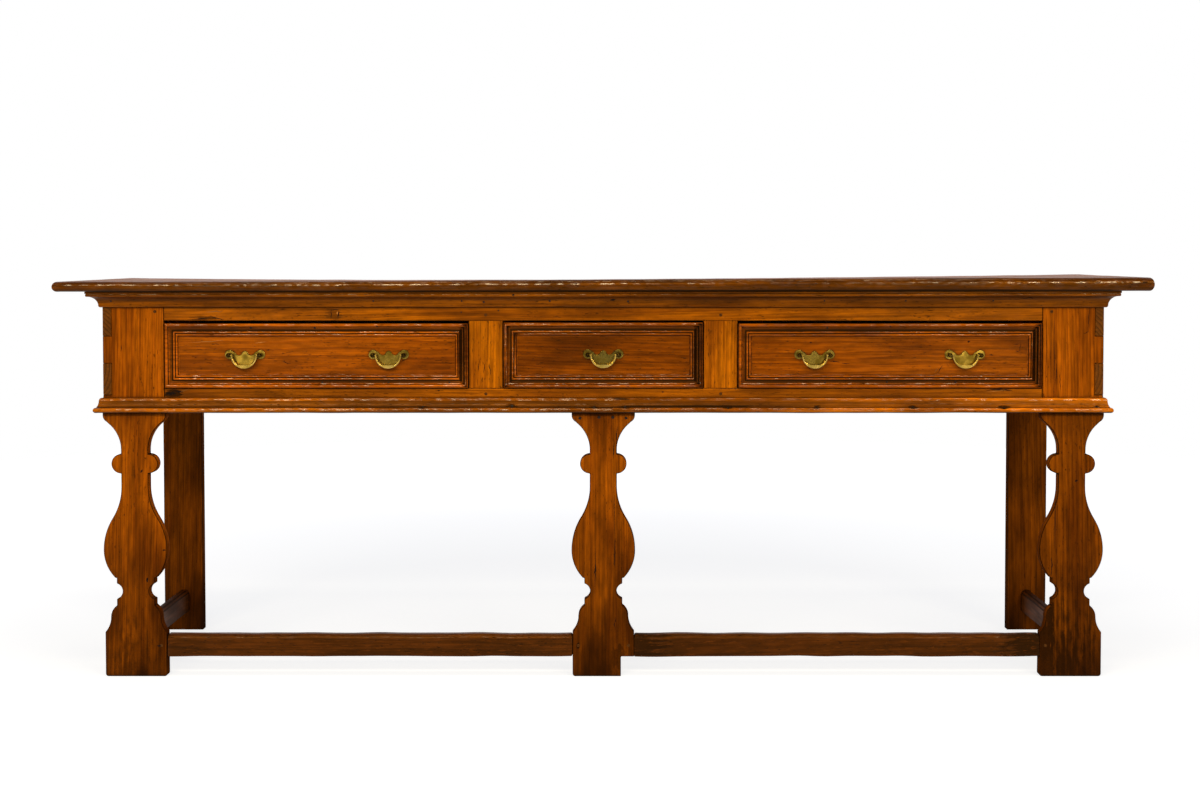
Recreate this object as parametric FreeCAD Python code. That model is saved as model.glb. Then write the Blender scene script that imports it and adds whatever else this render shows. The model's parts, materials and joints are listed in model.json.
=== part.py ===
"""Pine dresser base: a plank top on a framed three-drawer case with flat silhouette legs.

Lengths are in millimetres. X runs along the front, Y from front to back and Z up. The origin is on
the floor, under the middle of the top.
"""

import FreeCAD
import Part

import math
import os

Vector = FreeCAD.Vector

# Case and top
overall_height = 834.0
top_thickness = 22.0
top_end_overhang = 92.0
top_front_overhang = 40.0
top_front_board_depth = 300.0
nosing_upper_radius = 8.5
nosing_lower_radius = 6.5
case_depth = 470.0
stile_width = 129.0
muntin_width = 71.0
side_opening_width = 640.0
centre_opening_width = 422.0
opening_height = 142.0
top_rail_height = 60.0
bottom_rail_height = 51.0
frame_thickness = 22.0
side_thickness = 18.0
back_thickness = 14.0
rear_leg_width = 92.0

# Joinery
joint_clearance = 0.2
mortise_spare_depth = 1.0
tenon_thickness = 8.0
tenon_shoulder = 7.0
rail_tenon_length = 40.0
muntin_tenon_length = 24.0
stretcher_tenon_length = 30.0
stub_tenon_length = 10.0
bearer_tenon_length = 5.0
peg_radius = 3.5
peg_sides = 8
peg_setback = 12.0
rail_peg_setback = 19.0
finger_height = 66.0
finger_cover = 6.0

# Cornice under the top
cornice_height = 32.0
cornice_projection = 28.0
cornice_fillet_height = 4.0
cornice_bead_height = 6.0
cornice_bead_step = 2.0
cornice_nose_projection = 6.5
cornice_nose_height = 4.0

# Moulding round the foot of the case
base_moulding_height = 31.0
base_moulding_projection = 17.0
base_moulding_lip = 3.0
base_ogee_projection = 7.0
base_ogee_drop = 6.0
base_bead_radius = 5.5
base_moulding_splice_x = 20.0

# Outline of the front legs, as half widths and as heights from the floor and from the case
foot_half_width = 65.0
foot_height = 94.0
foot_corner_radius = 6.0
plinth_half_width = 52.8
plinth_flare_height = 32.5
plinth_ovolo_height = 24.0
fillet_half_width = 40.0
lower_fillet_height = 14.0
waist_half_width = 27.8
waist_height = 32.5
upper_fillet_height = 12.0
bulb_step = 3.0
bulb_half_width = 67.0
bulb_lower_height = 59.0
neck_half_width = 28.5
lower_neck_height = 28.0
collar_radius = 20.5
upper_neck_height = 9.0
corbel_cove_height = 56.0
corbel_cove_half_width = 55.0
corbel_step = 3.0
corbel_ovolo_height = 14.0
corbel_band_height = 6.0
corbel_half_width = 66.5
foot_loss_width = 28.0

# Stretchers
front_stretcher_bottom = 42.0
front_stretcher_height = 47.0
side_stretcher_bottom = 45.0
side_stretcher_height = 50.0
side_stretcher_thickness = 24.0
stretcher_wear = 6.0

# Block that ties the middle leg to the case
leg_block_half_width = 42.0
leg_block_depth = 34.0
leg_block_drop = 26.0
leg_block_head_gap = 8.0

# Runners under the drawers, guides beside them and kickers above them
runner_thickness = 24.0
runner_ledge = 24.0
guide_width = 24.0
guide_height = 20.0
kicker_thickness = 22.0

# Drawers
drawer_side_gap = 2.0
drawer_bottom_gap = 1.0
drawer_back_gap = 3.0
side_drawer_top_gap = 6.0
centre_drawer_top_gap = 4.0
drawer_face_recess = 3.0
drawer_front_thickness = 20.0
drawer_lining_thickness = 12.0
drawer_side_drop = 8.0
drawer_back_drop = 14.0
drawer_bottom_thickness = 8.0
drawer_bottom_lift = 9.0
drawer_groove_depth = 5.0
drawer_housing_depth = 4.0
drawer_back_inset = 16.0
dovetail_count = 3
dovetail_length = 14.0
dovetail_root_width = 20.0
dovetail_tip_width = 28.0

# Moulding planted round the drawer fronts
face_bead_width = 7.0
face_bead_height = 8.5
face_bead_crown = 2.2
face_quirk_width = 1.2
face_quirk_height = 4.0
face_slope_width = 8.0
face_slope_top = 6.0
face_slope_foot = 2.4
face_small_bead_width = 4.4
face_small_bead_crown = 1.35
face_gap_width = 1.0
face_gap_height = 1.6
face_edge_width = 2.6
face_edge_height = 1.2

# Turn between the flats that stand for a curve on the small pieces that repeat
small_curve_step = math.radians(24)

# Brass handles
left_handle_offset = 151.0
right_handle_offset = 158.0
handle_rise = 1.0
post_spacing = 65.0
plate_thickness = 1.6
plate_lobe_radius = 9.7
plate_lobe_sides = 14
plate_lobe_rise = 1.5
plate_body_radius = 26.0
plate_peak_height = 10.4
plate_dip_height = 0.7
plate_dip_offset = 11.5
plate_hook_height = 6.5
plate_hook_offset = 20.5
post_shank_width = 4.6
post_hole_clearance = 0.1
post_sides = 8
post_neck_radius = 3.2
post_head_radius = 4.3
post_standoff = 9.5
post_nut_width = 9.0
post_nut_thickness = 3.0
post_tail_length = 2.0
post_nut_pocket_margin = 1.5
bail_radius = 25.5
bail_end_radius = 2.1
bail_middle_radius = 3.1
bail_sections = 9
bail_sides = 6
bail_end_turn = math.radians(5)
bail_pivot_radius = 1.6
bail_pivot_clearance = 0.08
bail_pivot_depth = 3.0
bail_eye_spare_depth = 0.5

# Places worked out from the sizes above
case_half = stile_width + side_opening_width + muntin_width + centre_opening_width / 2
opening_edge = case_half - stile_width
top_half = case_half + top_end_overhang
top_depth = case_depth + top_front_overhang
top_front_y = -top_depth / 2
back_y = top_depth / 2
face_y = top_front_y + top_front_overhang
frame_back_y = face_y + frame_thickness
back_board_y = back_y - back_thickness
rear_leg_y = back_board_y - frame_thickness
case_top_z = overall_height - top_thickness
opening_top_z = case_top_z - top_rail_height
opening_bottom_z = opening_top_z - opening_height
case_bottom_z = opening_bottom_z - bottom_rail_height
muntin_x = (centre_opening_width + muntin_width) / 2
leg_x = case_half - stile_width / 2
foot_inner_x = leg_x - foot_half_width
rear_leg_x = case_half - rear_leg_width / 2
front_stretcher_z = front_stretcher_bottom + front_stretcher_height / 2

nut_pocket_depth = post_nut_thickness + post_tail_length
bail_reach = post_spacing / 2 - post_head_radius + bail_pivot_depth

FRAME_Y = (face_y, frame_back_y)
REAR_LEG_Y = (rear_leg_y, back_board_y)
CASE_Z = (case_bottom_z, case_top_z)
OPENING_Z = (opening_bottom_z, opening_top_z)
TENON_Y = (face_y + (frame_thickness - tenon_thickness) / 2, face_y + (frame_thickness + tenon_thickness) / 2)
PEG_Y = (face_y, TENON_Y[1])
SIDES = {"left": -1, "right": 1}
AXIS_X = Vector(1, 0, 0)
AXIS_Y = Vector(0, 1, 0)
AXIS_Z = Vector(0, 0, 1)

nodes = {}


def block(x, y, z):
    """A rectangular solid from three (low, high) spans."""
    return Part.makeBox(x[1] - x[0], y[1] - y[0], z[1] - z[0], Vector(x[0], y[0], z[0]))


def around(middle, width):
    """The span of a width about its middle."""
    return (middle - width / 2, middle + width / 2)


def grown(span, gap):
    """A span with a gap added at both ends."""
    return (span[0] - gap, span[1] + gap)


def whole(shape):
    """The one solid of a shape, with faces that continue each other merged."""
    merged = shape.removeSplitter()
    return merged.Solids[0] if len(merged.Solids) == 1 else merged


def joined(first, *others):
    """One solid made of several that touch or overlap."""
    return whole(first.fuse(list(others)))


def carved(solid, *cutters):
    """A solid with the cutters taken out of it."""
    return whole(solid.cut(list(cutters)))


def mortise(tenon, length_axis):
    """The hole for a tenon given as three spans: loose on its cheeks and a little too deep."""
    spans = [grown(span, joint_clearance) for span in tenon]
    spans[length_axis] = grown(tenon[length_axis], mortise_spare_depth)
    return block(*spans)


def placed(shape, sign):
    """A shape made for the right-hand side, or its mirror image for the left."""
    return shape if sign > 0 else shape.mirror(Vector(0, 0, 0), AXIS_X)


def ring_of(sides, centre, first, second, radius):
    """A closed ring of straight edges about a centre, in the plane of two unit vectors."""
    turns = [2 * math.pi * number / sides for number in range(sides)]
    corners = [centre + (first * math.cos(turn) + second * math.sin(turn)) * radius for turn in turns]
    return Part.makePolygon(corners + corners[:1])


def skinned(rings):
    """A solid with flat facets over a row of rings that have the same number of sides."""
    faces = [Part.Face(rings[0]), Part.Face(rings[-1])]
    for lower, upper in zip(rings, rings[1:]):
        below = [vertex.Point for vertex in lower.OrderedVertexes]
        above = [vertex.Point for vertex in upper.OrderedVertexes]
        for number in range(len(below)):
            after = (number + 1) % len(below)
            first = [below[number], below[after], above[after]]
            second = [below[number], above[after], above[number]]
            for corners in (first, second):
                faces.append(Part.Face(Part.makePolygon(corners + corners[:1])))
    shell = Part.makeShell(faces)
    shell.sewShape()
    solid = Part.Solid(shell)
    return solid if solid.Volume > 0 else solid.reversed()


def peg(x, z):
    """A cleft peg through a tenon, its head flush with the face of the frame."""
    ring = ring_of(peg_sides, Vector(x, PEG_Y[0], z), AXIS_X, AXIS_Z, peg_radius)
    return Part.Face(ring).extrude(AXIS_Y * (PEG_Y[1] - PEG_Y[0]))


UPRIGHT = (0, 1)
LEVEL = (1, 0)


class Outline:
    """Edges drawn end to end from a starting point, in the XZ plane, with arcs true or cut into flats."""

    def __init__(self, x, z, flat_step=None):
        self.edges = []
        self.at = Vector(x, 0, z)
        self.flat_step = flat_step

    def line(self, x, z):
        end = Vector(x, 0, z)
        self.edges.append(Part.LineSegment(self.at, end).toShape())
        self.at = end
        return self

    def arc(self, through, end):
        middle = Vector(through[0], 0, through[1])
        last = Vector(end[0], 0, end[1])
        curve = Part.Arc(self.at, middle, last).toShape()
        if self.flat_step is None:
            self.edges.append(curve)
            self.at = last
            return self
        flats = math.ceil((curve.LastParameter - curve.FirstParameter) / self.flat_step)
        for point in curve.discretize(Number=flats + 1)[1:-1]:
            self.line(point.x, point.z)
        return self.line(*end)

    def tangent_arc(self, x, z, tangent, at_end=False):
        """An arc to (x, z) that follows a tangent direction at its start, or else at its end."""
        end = Vector(x, 0, z)
        touch, other = (end, self.at) if at_end else (self.at, end)
        chord = other - touch
        normal = Vector(-tangent[1], 0, tangent[0])
        radius = chord.dot(chord) / (2 * chord.dot(normal))
        centre = touch + normal * radius
        bisector = ((touch - centre) + (other - centre)).normalize()
        middle = centre + bisector * abs(radius)
        return self.arc((middle.x, middle.z), (x, z))

    def ogee(self, x, z, tangent):
        """Two equal arcs to (x, z), along the same tangent direction at both ends."""
        middle = (self.at + Vector(x, 0, z)) * 0.5
        self.tangent_arc(middle.x, middle.z, tangent)
        return self.tangent_arc(x, z, tangent, at_end=True)


def face_of(edges):
    """The flat face inside a closed run of edges."""
    return Part.Face(Part.Wire(Part.__sortEdges__(edges)))


def mirrored_edges(edges):
    """The same edges on the other side of the X = 0 plane."""
    return [edge.mirror(Vector(0, 0, 0), AXIS_X) for edge in edges]


def polygon_prism(points, z):
    """An upright prism over a plan given as (x, y) points."""
    corners = [Vector(x, y, z[0]) for x, y in points]
    face = Part.Face(Part.makePolygon(corners + corners[:1]))
    return face.extrude(Vector(0, 0, z[1] - z[0]))


def leg_side():
    """The right-hand edge of a front leg, from its foot up to the case."""
    plinth_z = foot_height + plinth_flare_height
    lower_fillet_z = plinth_z + plinth_ovolo_height
    waist_z = lower_fillet_z + lower_fillet_height
    upper_fillet_z = waist_z + waist_height
    bulb_foot_z = upper_fillet_z + upper_fillet_height
    bulb_z = bulb_foot_z + bulb_lower_height
    band_z = case_bottom_z - corbel_band_height
    step_z = band_z - corbel_ovolo_height
    cove_top_z = step_z - corbel_step
    cove_z = cove_top_z - corbel_cove_height
    collar_top_z = cove_z - upper_neck_height
    collar_z = collar_top_z - 2 * collar_radius
    corner = foot_corner_radius
    corner_share = corner * (1 - math.sqrt(0.5))

    side = Outline(foot_half_width - corner, 0)
    side.arc((foot_half_width - corner_share, corner_share), (foot_half_width, corner))
    side.line(foot_half_width, foot_height)
    side.tangent_arc(plinth_half_width, plinth_z, UPRIGHT, at_end=True)
    side.tangent_arc(fillet_half_width, lower_fillet_z, UPRIGHT)
    side.line(fillet_half_width, waist_z)
    side.arc((waist_half_width, waist_z + waist_height / 2), (fillet_half_width, upper_fillet_z))
    side.line(fillet_half_width, bulb_foot_z)
    side.line(fillet_half_width + bulb_step, bulb_foot_z)
    side.tangent_arc(bulb_half_width, bulb_z, UPRIGHT, at_end=True)
    side.ogee(neck_half_width, collar_z - lower_neck_height, UPRIGHT)
    side.line(neck_half_width, collar_z)
    side.arc((neck_half_width + collar_radius, collar_z + collar_radius), (neck_half_width, collar_top_z))
    side.line(neck_half_width, cove_z)
    side.tangent_arc(corbel_cove_half_width, cove_top_z, UPRIGHT)
    side.line(corbel_cove_half_width + corbel_step, step_z)
    side.tangent_arc(corbel_half_width, band_z, UPRIGHT, at_end=True)
    side.line(corbel_half_width, case_bottom_z)
    return side.edges


def leg_plank(is_corner):
    """A front leg about X = 0, sawn from a plank that goes on upwards as a stile at the corners."""
    right = leg_side()
    crown_x, crown_z = corbel_half_width, case_bottom_z
    if is_corner:
        stile = Outline(crown_x, crown_z).line(stile_width / 2, crown_z).line(stile_width / 2, case_top_z)
        right += stile.edges
        crown_x, crown_z = stile_width / 2, case_top_z
    crown = Outline(-crown_x, crown_z).line(crown_x, crown_z)
    sole_x = foot_half_width - foot_corner_radius
    sole = Outline(-sole_x, 0).line(sole_x, 0)
    plank = face_of(right + mirrored_edges(right) + sole.edges + crown.edges)
    plank.translate(Vector(0, face_y, 0))
    return plank.extrude(Vector(0, frame_thickness, 0))


def rail_tenon(z, sign):
    """The tenon of a long rail in the stile on one side."""
    inner, outer = opening_edge, opening_edge + rail_tenon_length
    x = (inner, outer) if sign > 0 else (-outer, -inner)
    return (x, TENON_Y, grown(z, -tenon_shoulder))


def muntin_tenons(middle_x):
    """The tenons of an upright between two drawers: one up, one down."""
    x = around(middle_x, muntin_width - 2 * tenon_shoulder)
    upper = (opening_top_z, opening_top_z + muntin_tenon_length)
    lower = (opening_bottom_z - muntin_tenon_length, opening_bottom_z)
    return [(x, TENON_Y, upper), (x, TENON_Y, lower)]


def centre_leg_tenon():
    """The tenon of the middle leg in the underside of the bottom rail."""
    x = around(0, 2 * (corbel_half_width - 2 * tenon_shoulder))
    return (x, TENON_Y, (case_bottom_z, case_bottom_z + muntin_tenon_length))


def front_stretcher_tenons(sign):
    """The tenons of a front stretcher: one in the middle leg, one in the corner leg."""
    z = grown(around(front_stretcher_z, front_stretcher_height), -tenon_shoulder)
    inner = (foot_half_width - stretcher_tenon_length, foot_half_width)
    outer = (foot_inner_x, foot_inner_x + stretcher_tenon_length)
    spans = [inner, outer] if sign > 0 else [(-b, -a) for a, b in (inner, outer)]
    return [(x, TENON_Y, z) for x in spans]


def side_stretcher_tenons():
    """The stub tenons of the right-hand side stretcher, in the front leg and the rear leg."""
    x = around(rear_leg_x, side_stretcher_thickness - tenon_shoulder)
    z = grown((side_stretcher_bottom, side_stretcher_bottom + side_stretcher_height), -tenon_shoulder)
    front = (frame_back_y - stub_tenon_length, frame_back_y)
    rear = (rear_leg_y, rear_leg_y + stub_tenon_length)
    return [(x, front, z), (x, rear, z)]


def side_board_fingers(y):
    """The two fingers of the right-hand side board, through the thickness of a corner plank."""
    x = (case_half - side_thickness, case_half)
    lower_z = case_bottom_z + base_moulding_height + finger_cover
    upper_z = case_top_z - cornice_height + finger_cover - finger_height
    return [(x, y, (z, z + finger_height)) for z in (lower_z, upper_z)]


def bearer_spans():
    """Where the drawers run: for each line of runners its guide span and its runner span along X."""
    end_guide = (opening_edge, opening_edge + guide_width)
    end_runner = (opening_edge - runner_ledge, opening_edge + guide_width)
    muntin_guide = around(muntin_x, muntin_width)
    muntin_runner = grown(muntin_guide, runner_ledge)
    return {"end": (end_guide, end_runner), "muntin": (muntin_guide, muntin_runner)}


def bearer_tenons(runner, rail_part, z):
    """The stub tenons of a bearer: in the rail in front and in the back board behind."""
    inner = (max(runner[0], rail_part[0]), min(runner[1], rail_part[1]))
    x = grown(inner, -tenon_shoulder / 2)
    tongue = around((z[0] + z[1]) / 2, tenon_thickness)
    front = (frame_back_y - bearer_tenon_length, frame_back_y)
    rear = (back_board_y, back_board_y + bearer_tenon_length)
    return [(x, front, tongue), (x, rear, tongue)]


def bearer_set(z):
    """The four bearers at one height, keyed by line and side, each with its tenons."""
    rail_part = (-opening_edge, opening_edge)
    made = {}
    for line, (_, runner) in bearer_spans().items():
        tenons = bearer_tenons(runner, rail_part, z)
        body = block(runner, (frame_back_y, back_board_y), z)
        solid = joined(body, *[block(*tenon) for tenon in tenons])
        cutters = [mortise(tenon, 1) for tenon in tenons]
        for side, sign in SIDES.items():
            made[line, side] = (placed(solid, sign), [placed(cutter, sign) for cutter in cutters])
    return made


RUNNERS = bearer_set((opening_bottom_z - runner_thickness, opening_bottom_z))
KICKERS = bearer_set((opening_top_z, opening_top_z + kicker_thickness))


def rounded_edges(solid, radius, is_chosen):
    """A solid with a fillet on the edges whose middle point is chosen."""
    chosen = [edge for edge in solid.Edges if is_chosen(edge.CenterOfMass)]
    return solid.makeFillet(radius, chosen)


def make_top():
    """Two boards edge to edge, with a rounded nosing along the front and the ends."""
    seam_y = top_front_y + top_front_board_depth
    spans = {"top_front_board": (top_front_y, seam_y), "top_back_board": (seam_y, back_y)}
    rims = {case_top_z: nosing_lower_radius, overall_height: nosing_upper_radius}
    for name, y in spans.items():
        board = block((-top_half, top_half), y, (case_top_z, overall_height))
        for rim_z, radius in rims.items():

            def on_rim(point, rim_z=rim_z):
                at_front = abs(point.y - top_front_y) < 1e-6
                at_end = top_half - abs(point.x) < max(rims.values())
                return abs(point.z - rim_z) < 1e-6 and (at_front or at_end)

            board = rounded_edges(board, radius, on_rim)
        nodes[name] = board


def cornice_profile():
    """Section of the cornice: X is the projection from the case, Z the drop from the top."""
    bead_x = cornice_projection - cornice_bead_step
    cove_x = bead_x - cornice_bead_step
    bead_z = -cornice_fillet_height
    cove_z = bead_z - cornice_bead_height
    nose_z = cornice_nose_height - cornice_height
    nose_x = cornice_nose_projection - cornice_nose_height
    nose_share = cornice_nose_height * (1 - math.sqrt(0.5))
    profile = Outline(0, 0).line(cornice_projection, 0).line(cornice_projection, bead_z)
    profile.line(bead_x, bead_z)
    profile.arc((cornice_projection - cornice_bead_step / 2, (bead_z + cove_z) / 2), (bead_x, cove_z))
    profile.line(cove_x, cove_z)
    profile.tangent_arc(cornice_nose_projection, nose_z, UPRIGHT, at_end=True)
    nose_middle = (cornice_nose_projection - nose_share, nose_share - cornice_height)
    profile.arc(nose_middle, (nose_x, -cornice_height))
    profile.line(0, -cornice_height).line(0, 0)
    return face_of(profile.edges)


def base_moulding_profile():
    """Section of the base moulding: an ogee over a bead, X out from the case, Z down from its top."""
    bead_x = base_moulding_projection - base_bead_radius
    bead_top_z = 2 * base_bead_radius - base_moulding_height
    profile = Outline(0, 0).line(base_moulding_lip, 0)
    profile.tangent_arc(base_ogee_projection, -base_ogee_drop, UPRIGHT, at_end=True)
    profile.tangent_arc(bead_x, bead_top_z, UPRIGHT)
    profile.arc((base_moulding_projection, bead_top_z - base_bead_radius), (bead_x, -base_moulding_height))
    profile.line(0, -base_moulding_height).line(0, 0)
    return face_of(profile.edges)


def moulding_runs(profile, top_z, height, projection):
    """A moulding mitred round the front and the ends of the case, as front, left and right runs."""
    z = (top_z - height, top_z)
    reach = case_half + projection
    front_reach = face_y - projection
    front_bar = profile.copy()
    front_bar.rotate(Vector(0, 0, 0), Vector(0, 0, 1), -90)
    front_bar.translate(Vector(-reach, face_y, top_z))
    front_bar = front_bar.extrude(Vector(2 * reach, 0, 0))
    front_plan = [(-case_half, face_y), (-reach, front_reach), (reach, front_reach), (case_half, face_y)]
    end_bar = profile.copy()
    end_bar.translate(Vector(case_half, front_reach, top_z))
    end_bar = end_bar.extrude(Vector(0, back_y - front_reach, 0))
    end_plan = [(case_half, face_y), (reach, front_reach), (reach, back_y), (case_half, back_y)]
    front = whole(front_bar.common(polygon_prism(front_plan, z)))
    right = whole(end_bar.common(polygon_prism(end_plan, z)))
    return {"front": front, "left": placed(right, -1), "right": right}


def make_mouldings():
    """The cornice, and the base moulding with its front run spliced from two lengths."""
    cornice = moulding_runs(cornice_profile(), case_top_z, cornice_height, cornice_projection)
    for run, solid in cornice.items():
        nodes[f"cornice_{run}"] = solid
    top_z = case_bottom_z + base_moulding_height
    base = moulding_runs(base_moulding_profile(), top_z, base_moulding_height, base_moulding_projection)
    reach = case_half + base_moulding_projection
    y = (face_y - base_moulding_projection, face_y)
    z = (case_bottom_z, top_z)
    left_half = block((-reach, base_moulding_splice_x), y, z)
    right_half = block((base_moulding_splice_x, reach), y, z)
    nodes["base_moulding_front_left"] = whole(base["front"].common(left_half))
    nodes["base_moulding_front_right"] = whole(base["front"].common(right_half))
    for side in SIDES:
        nodes[f"base_moulding_{side}"] = base[side]


def make_pegs():
    """The pegs that pin the tenons of the front frame and of the front stretchers."""
    rail_x = opening_edge + rail_peg_setback
    places = []
    for sign in SIDES.values():
        places.append((sign * rail_x, opening_top_z + rail_peg_setback))
        places.append((sign * rail_x, case_bottom_z + bottom_rail_height / 2))
        places.append((sign * muntin_x, opening_top_z + peg_setback))
        places.append((sign * muntin_x, opening_bottom_z - peg_setback))
        places.append((sign * (foot_half_width - peg_setback), front_stretcher_z))
        places.append((sign * (foot_inner_x + peg_setback), front_stretcher_z))
    pegs = [peg(x, z) for x, z in places]
    nodes["joint_pegs"] = Part.makeCompound(pegs)
    return pegs


def make_front_legs(pegs):
    """Corner planks that are stile and leg in one, and the middle leg under the bottom rail."""
    corner = leg_plank(is_corner=True)
    corner.translate(Vector(leg_x, 0, 0))
    rails = [(opening_top_z, case_top_z), (case_bottom_z, opening_bottom_z)]
    cutters = [mortise(rail_tenon(z, 1), 0) for z in rails]
    cutters.append(mortise(front_stretcher_tenons(1)[1], 0))
    cutters.append(mortise(side_stretcher_tenons()[0], 1))
    cutters += [block(*finger) for finger in side_board_fingers(FRAME_Y)]
    corner = carved(corner, *cutters)
    for side, sign in SIDES.items():
        nodes[f"front_leg_{side}"] = carved(placed(corner, sign), *pegs)

    tenon = centre_leg_tenon()
    centre = joined(leg_plank(is_corner=False), block(*tenon))
    cutters = [mortise(front_stretcher_tenons(sign)[0], 0) for sign in SIDES.values()]
    lost_x = (foot_half_width - foot_loss_width, foot_half_width)
    cutters.append(block(lost_x, FRAME_Y, (0, front_stretcher_bottom)))
    nodes["front_leg_centre"] = carved(centre, *cutters, *pegs)


def make_front_frame(pegs):
    """The two long rails and the uprights between the drawers, tenoned and pegged."""
    rails = {"top_rail": (opening_top_z, case_top_z), "bottom_rail": (case_bottom_z, opening_bottom_z)}
    tenons = [tenon for sign in SIDES.values() for tenon in muntin_tenons(sign * muntin_x)]
    cutters = [mortise(tenon, 2) for tenon in tenons]
    cutters.append(mortise(centre_leg_tenon(), 2))
    for bearers in (RUNNERS, KICKERS):
        for _, sockets in bearers.values():
            cutters += sockets
    for name, z in rails.items():
        body = block((-opening_edge, opening_edge), FRAME_Y, z)
        ends = [block(*rail_tenon(z, sign)) for sign in SIDES.values()]
        nodes[name] = carved(joined(body, *ends), *cutters, *pegs)
    for side, sign in SIDES.items():
        body = block(around(sign * muntin_x, muntin_width), FRAME_Y, OPENING_Z)
        ends = [block(*tenon) for tenon in muntin_tenons(sign * muntin_x)]
        nodes[f"muntin_{side}"] = carved(joined(body, *ends), *pegs)


def make_sides_and_back():
    """End boards fingered into the corner planks, the rear legs and the board nailed across the back."""
    front_fingers = side_board_fingers(FRAME_Y)
    rear_fingers = side_board_fingers(REAR_LEG_Y)
    board = block((case_half - side_thickness, case_half), (frame_back_y, rear_leg_y), CASE_Z)
    board = joined(board, *[block(*finger) for finger in front_fingers + rear_fingers])
    leg = block(around(rear_leg_x, rear_leg_width), REAR_LEG_Y, (0, case_top_z))
    socket = mortise(side_stretcher_tenons()[1], 1)
    leg = carved(leg, socket, *[block(*finger) for finger in rear_fingers])
    for side, sign in SIDES.items():
        nodes[f"side_board_{side}"] = placed(board, sign)
        nodes[f"rear_leg_{side}"] = placed(leg, sign)
    back = block((-case_half, case_half), (back_board_y, back_y), CASE_Z)
    sockets = []
    for bearers in (RUNNERS, KICKERS):
        for _, cutters in bearers.values():
            sockets += cutters
    nodes["back_board"] = carved(back, *sockets)


def worn_bar(solid, is_top_edge):
    """A stretcher with its upper edges worn away by feet."""
    chosen = [edge for edge in solid.Edges if is_top_edge(edge.CenterOfMass)]
    return solid.makeChamfer(stretcher_wear, chosen)


def make_stretchers(pegs):
    """The front stretchers between the front legs, and the side ones back to the rear legs."""
    top_z = front_stretcher_bottom + front_stretcher_height
    body = block((foot_half_width, foot_inner_x), FRAME_Y, (front_stretcher_bottom, top_z))
    body = worn_bar(body, lambda p: abs(p.z - top_z) < 1e-6 and abs(p.y - face_y) < 1e-6)
    bar = joined(body, *[block(*tenon) for tenon in front_stretcher_tenons(1)])
    side_top_z = side_stretcher_bottom + side_stretcher_height
    side_z = (side_stretcher_bottom, side_top_z)
    side_x = around(rear_leg_x, side_stretcher_thickness)
    side_body = block(side_x, (frame_back_y, rear_leg_y), side_z)
    long_edge_y = (frame_back_y + rear_leg_y) / 2
    side_body = worn_bar(side_body, lambda p: abs(p.z - side_top_z) < 1e-6 and abs(p.y - long_edge_y) < 1e-6)
    side_bar = joined(side_body, *[block(*tenon) for tenon in side_stretcher_tenons()])
    for side, sign in SIDES.items():
        nodes[f"front_stretcher_{side}"] = carved(placed(bar, sign), *pegs)
        nodes[f"side_stretcher_{side}"] = placed(side_bar, sign)


def make_leg_block():
    """The block glued behind the bottom rail, to which the middle leg is nailed."""
    z = (case_bottom_z - leg_block_drop, opening_bottom_z - leg_block_head_gap)
    y = (frame_back_y, frame_back_y + leg_block_depth)
    nodes["centre_leg_block"] = block(around(0, 2 * leg_block_half_width), y, z)


def make_bearers():
    """Runners and guides under the drawers, and the kickers that stop them tipping."""
    guides = []
    for guide, _ in bearer_spans().values():
        z = (opening_bottom_z, opening_bottom_z + guide_height)
        strip = block(guide, (frame_back_y, back_board_y), z)
        guides += [placed(strip, sign) for sign in SIDES.values()]
    nodes["drawer_runners"] = Part.makeCompound([RUNNERS["end", side][0] for side in SIDES])
    nodes["drawer_bearers"] = Part.makeCompound([RUNNERS["muntin", side][0] for side in SIDES])
    nodes["drawer_guides"] = Part.makeCompound(guides)
    nodes["drawer_kickers"] = Part.makeCompound([solid for solid, _ in KICKERS.values()])


def face_moulding_profile():
    """Section of the drawer moulding: X inwards from its outer edge, Z out from the drawer front."""
    bead_side = face_bead_height - face_bead_crown
    slope_x = face_bead_width + face_quirk_width
    astragal_x = slope_x + face_slope_width
    gap_x = astragal_x + face_small_bead_width
    inner_x = gap_x + face_gap_width
    edge_x = inner_x + face_small_bead_width
    end_x = edge_x + face_edge_width
    profile = Outline(0, 0, small_curve_step).line(0, bead_side)
    profile.arc((face_bead_width / 2, face_bead_height), (face_bead_width, bead_side))
    profile.line(face_bead_width, face_quirk_height).line(slope_x, face_quirk_height)
    profile.line(slope_x, face_slope_top)
    profile.tangent_arc(astragal_x, face_slope_foot, LEVEL, at_end=True)
    crest = (astragal_x + face_small_bead_width / 2, face_slope_foot + face_small_bead_crown)
    profile.arc(crest, (gap_x, face_slope_foot))
    profile.line(gap_x, face_gap_height).line(inner_x, face_gap_height)
    crest = (inner_x + face_small_bead_width / 2, face_gap_height + face_small_bead_crown)
    profile.arc(crest, (edge_x, face_gap_height))
    profile.line(edge_x, face_edge_height).line(end_x, 0).line(0, 0)
    return face_of(profile.edges), end_x


def moulding_strip(length):
    """A strip along X with mitred ends, its outer edge on Z = 0 and its back on Y = 0."""
    section, width = face_moulding_profile()
    bar = section.copy()
    bar.rotate(Vector(0, 0, 0), Vector(1, 0, 0), 90)
    bar.rotate(Vector(0, 0, 0), Vector(0, 1, 0), -90)
    bar.translate(Vector(-length / 2, 0, 0))
    bar = bar.extrude(Vector(length, 0, 0))
    half = length / 2
    outline = [(-half, 0), (half, 0), (half - width, width), (width - half, width)]
    corners = [Vector(x, 0, z) for x, z in outline]
    plan = Part.Face(Part.makePolygon(corners + corners[:1]))
    depth = face_bead_height
    plan.translate(Vector(0, -depth, 0))
    return whole(bar.common(plan.extrude(Vector(0, depth, 0))))


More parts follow.
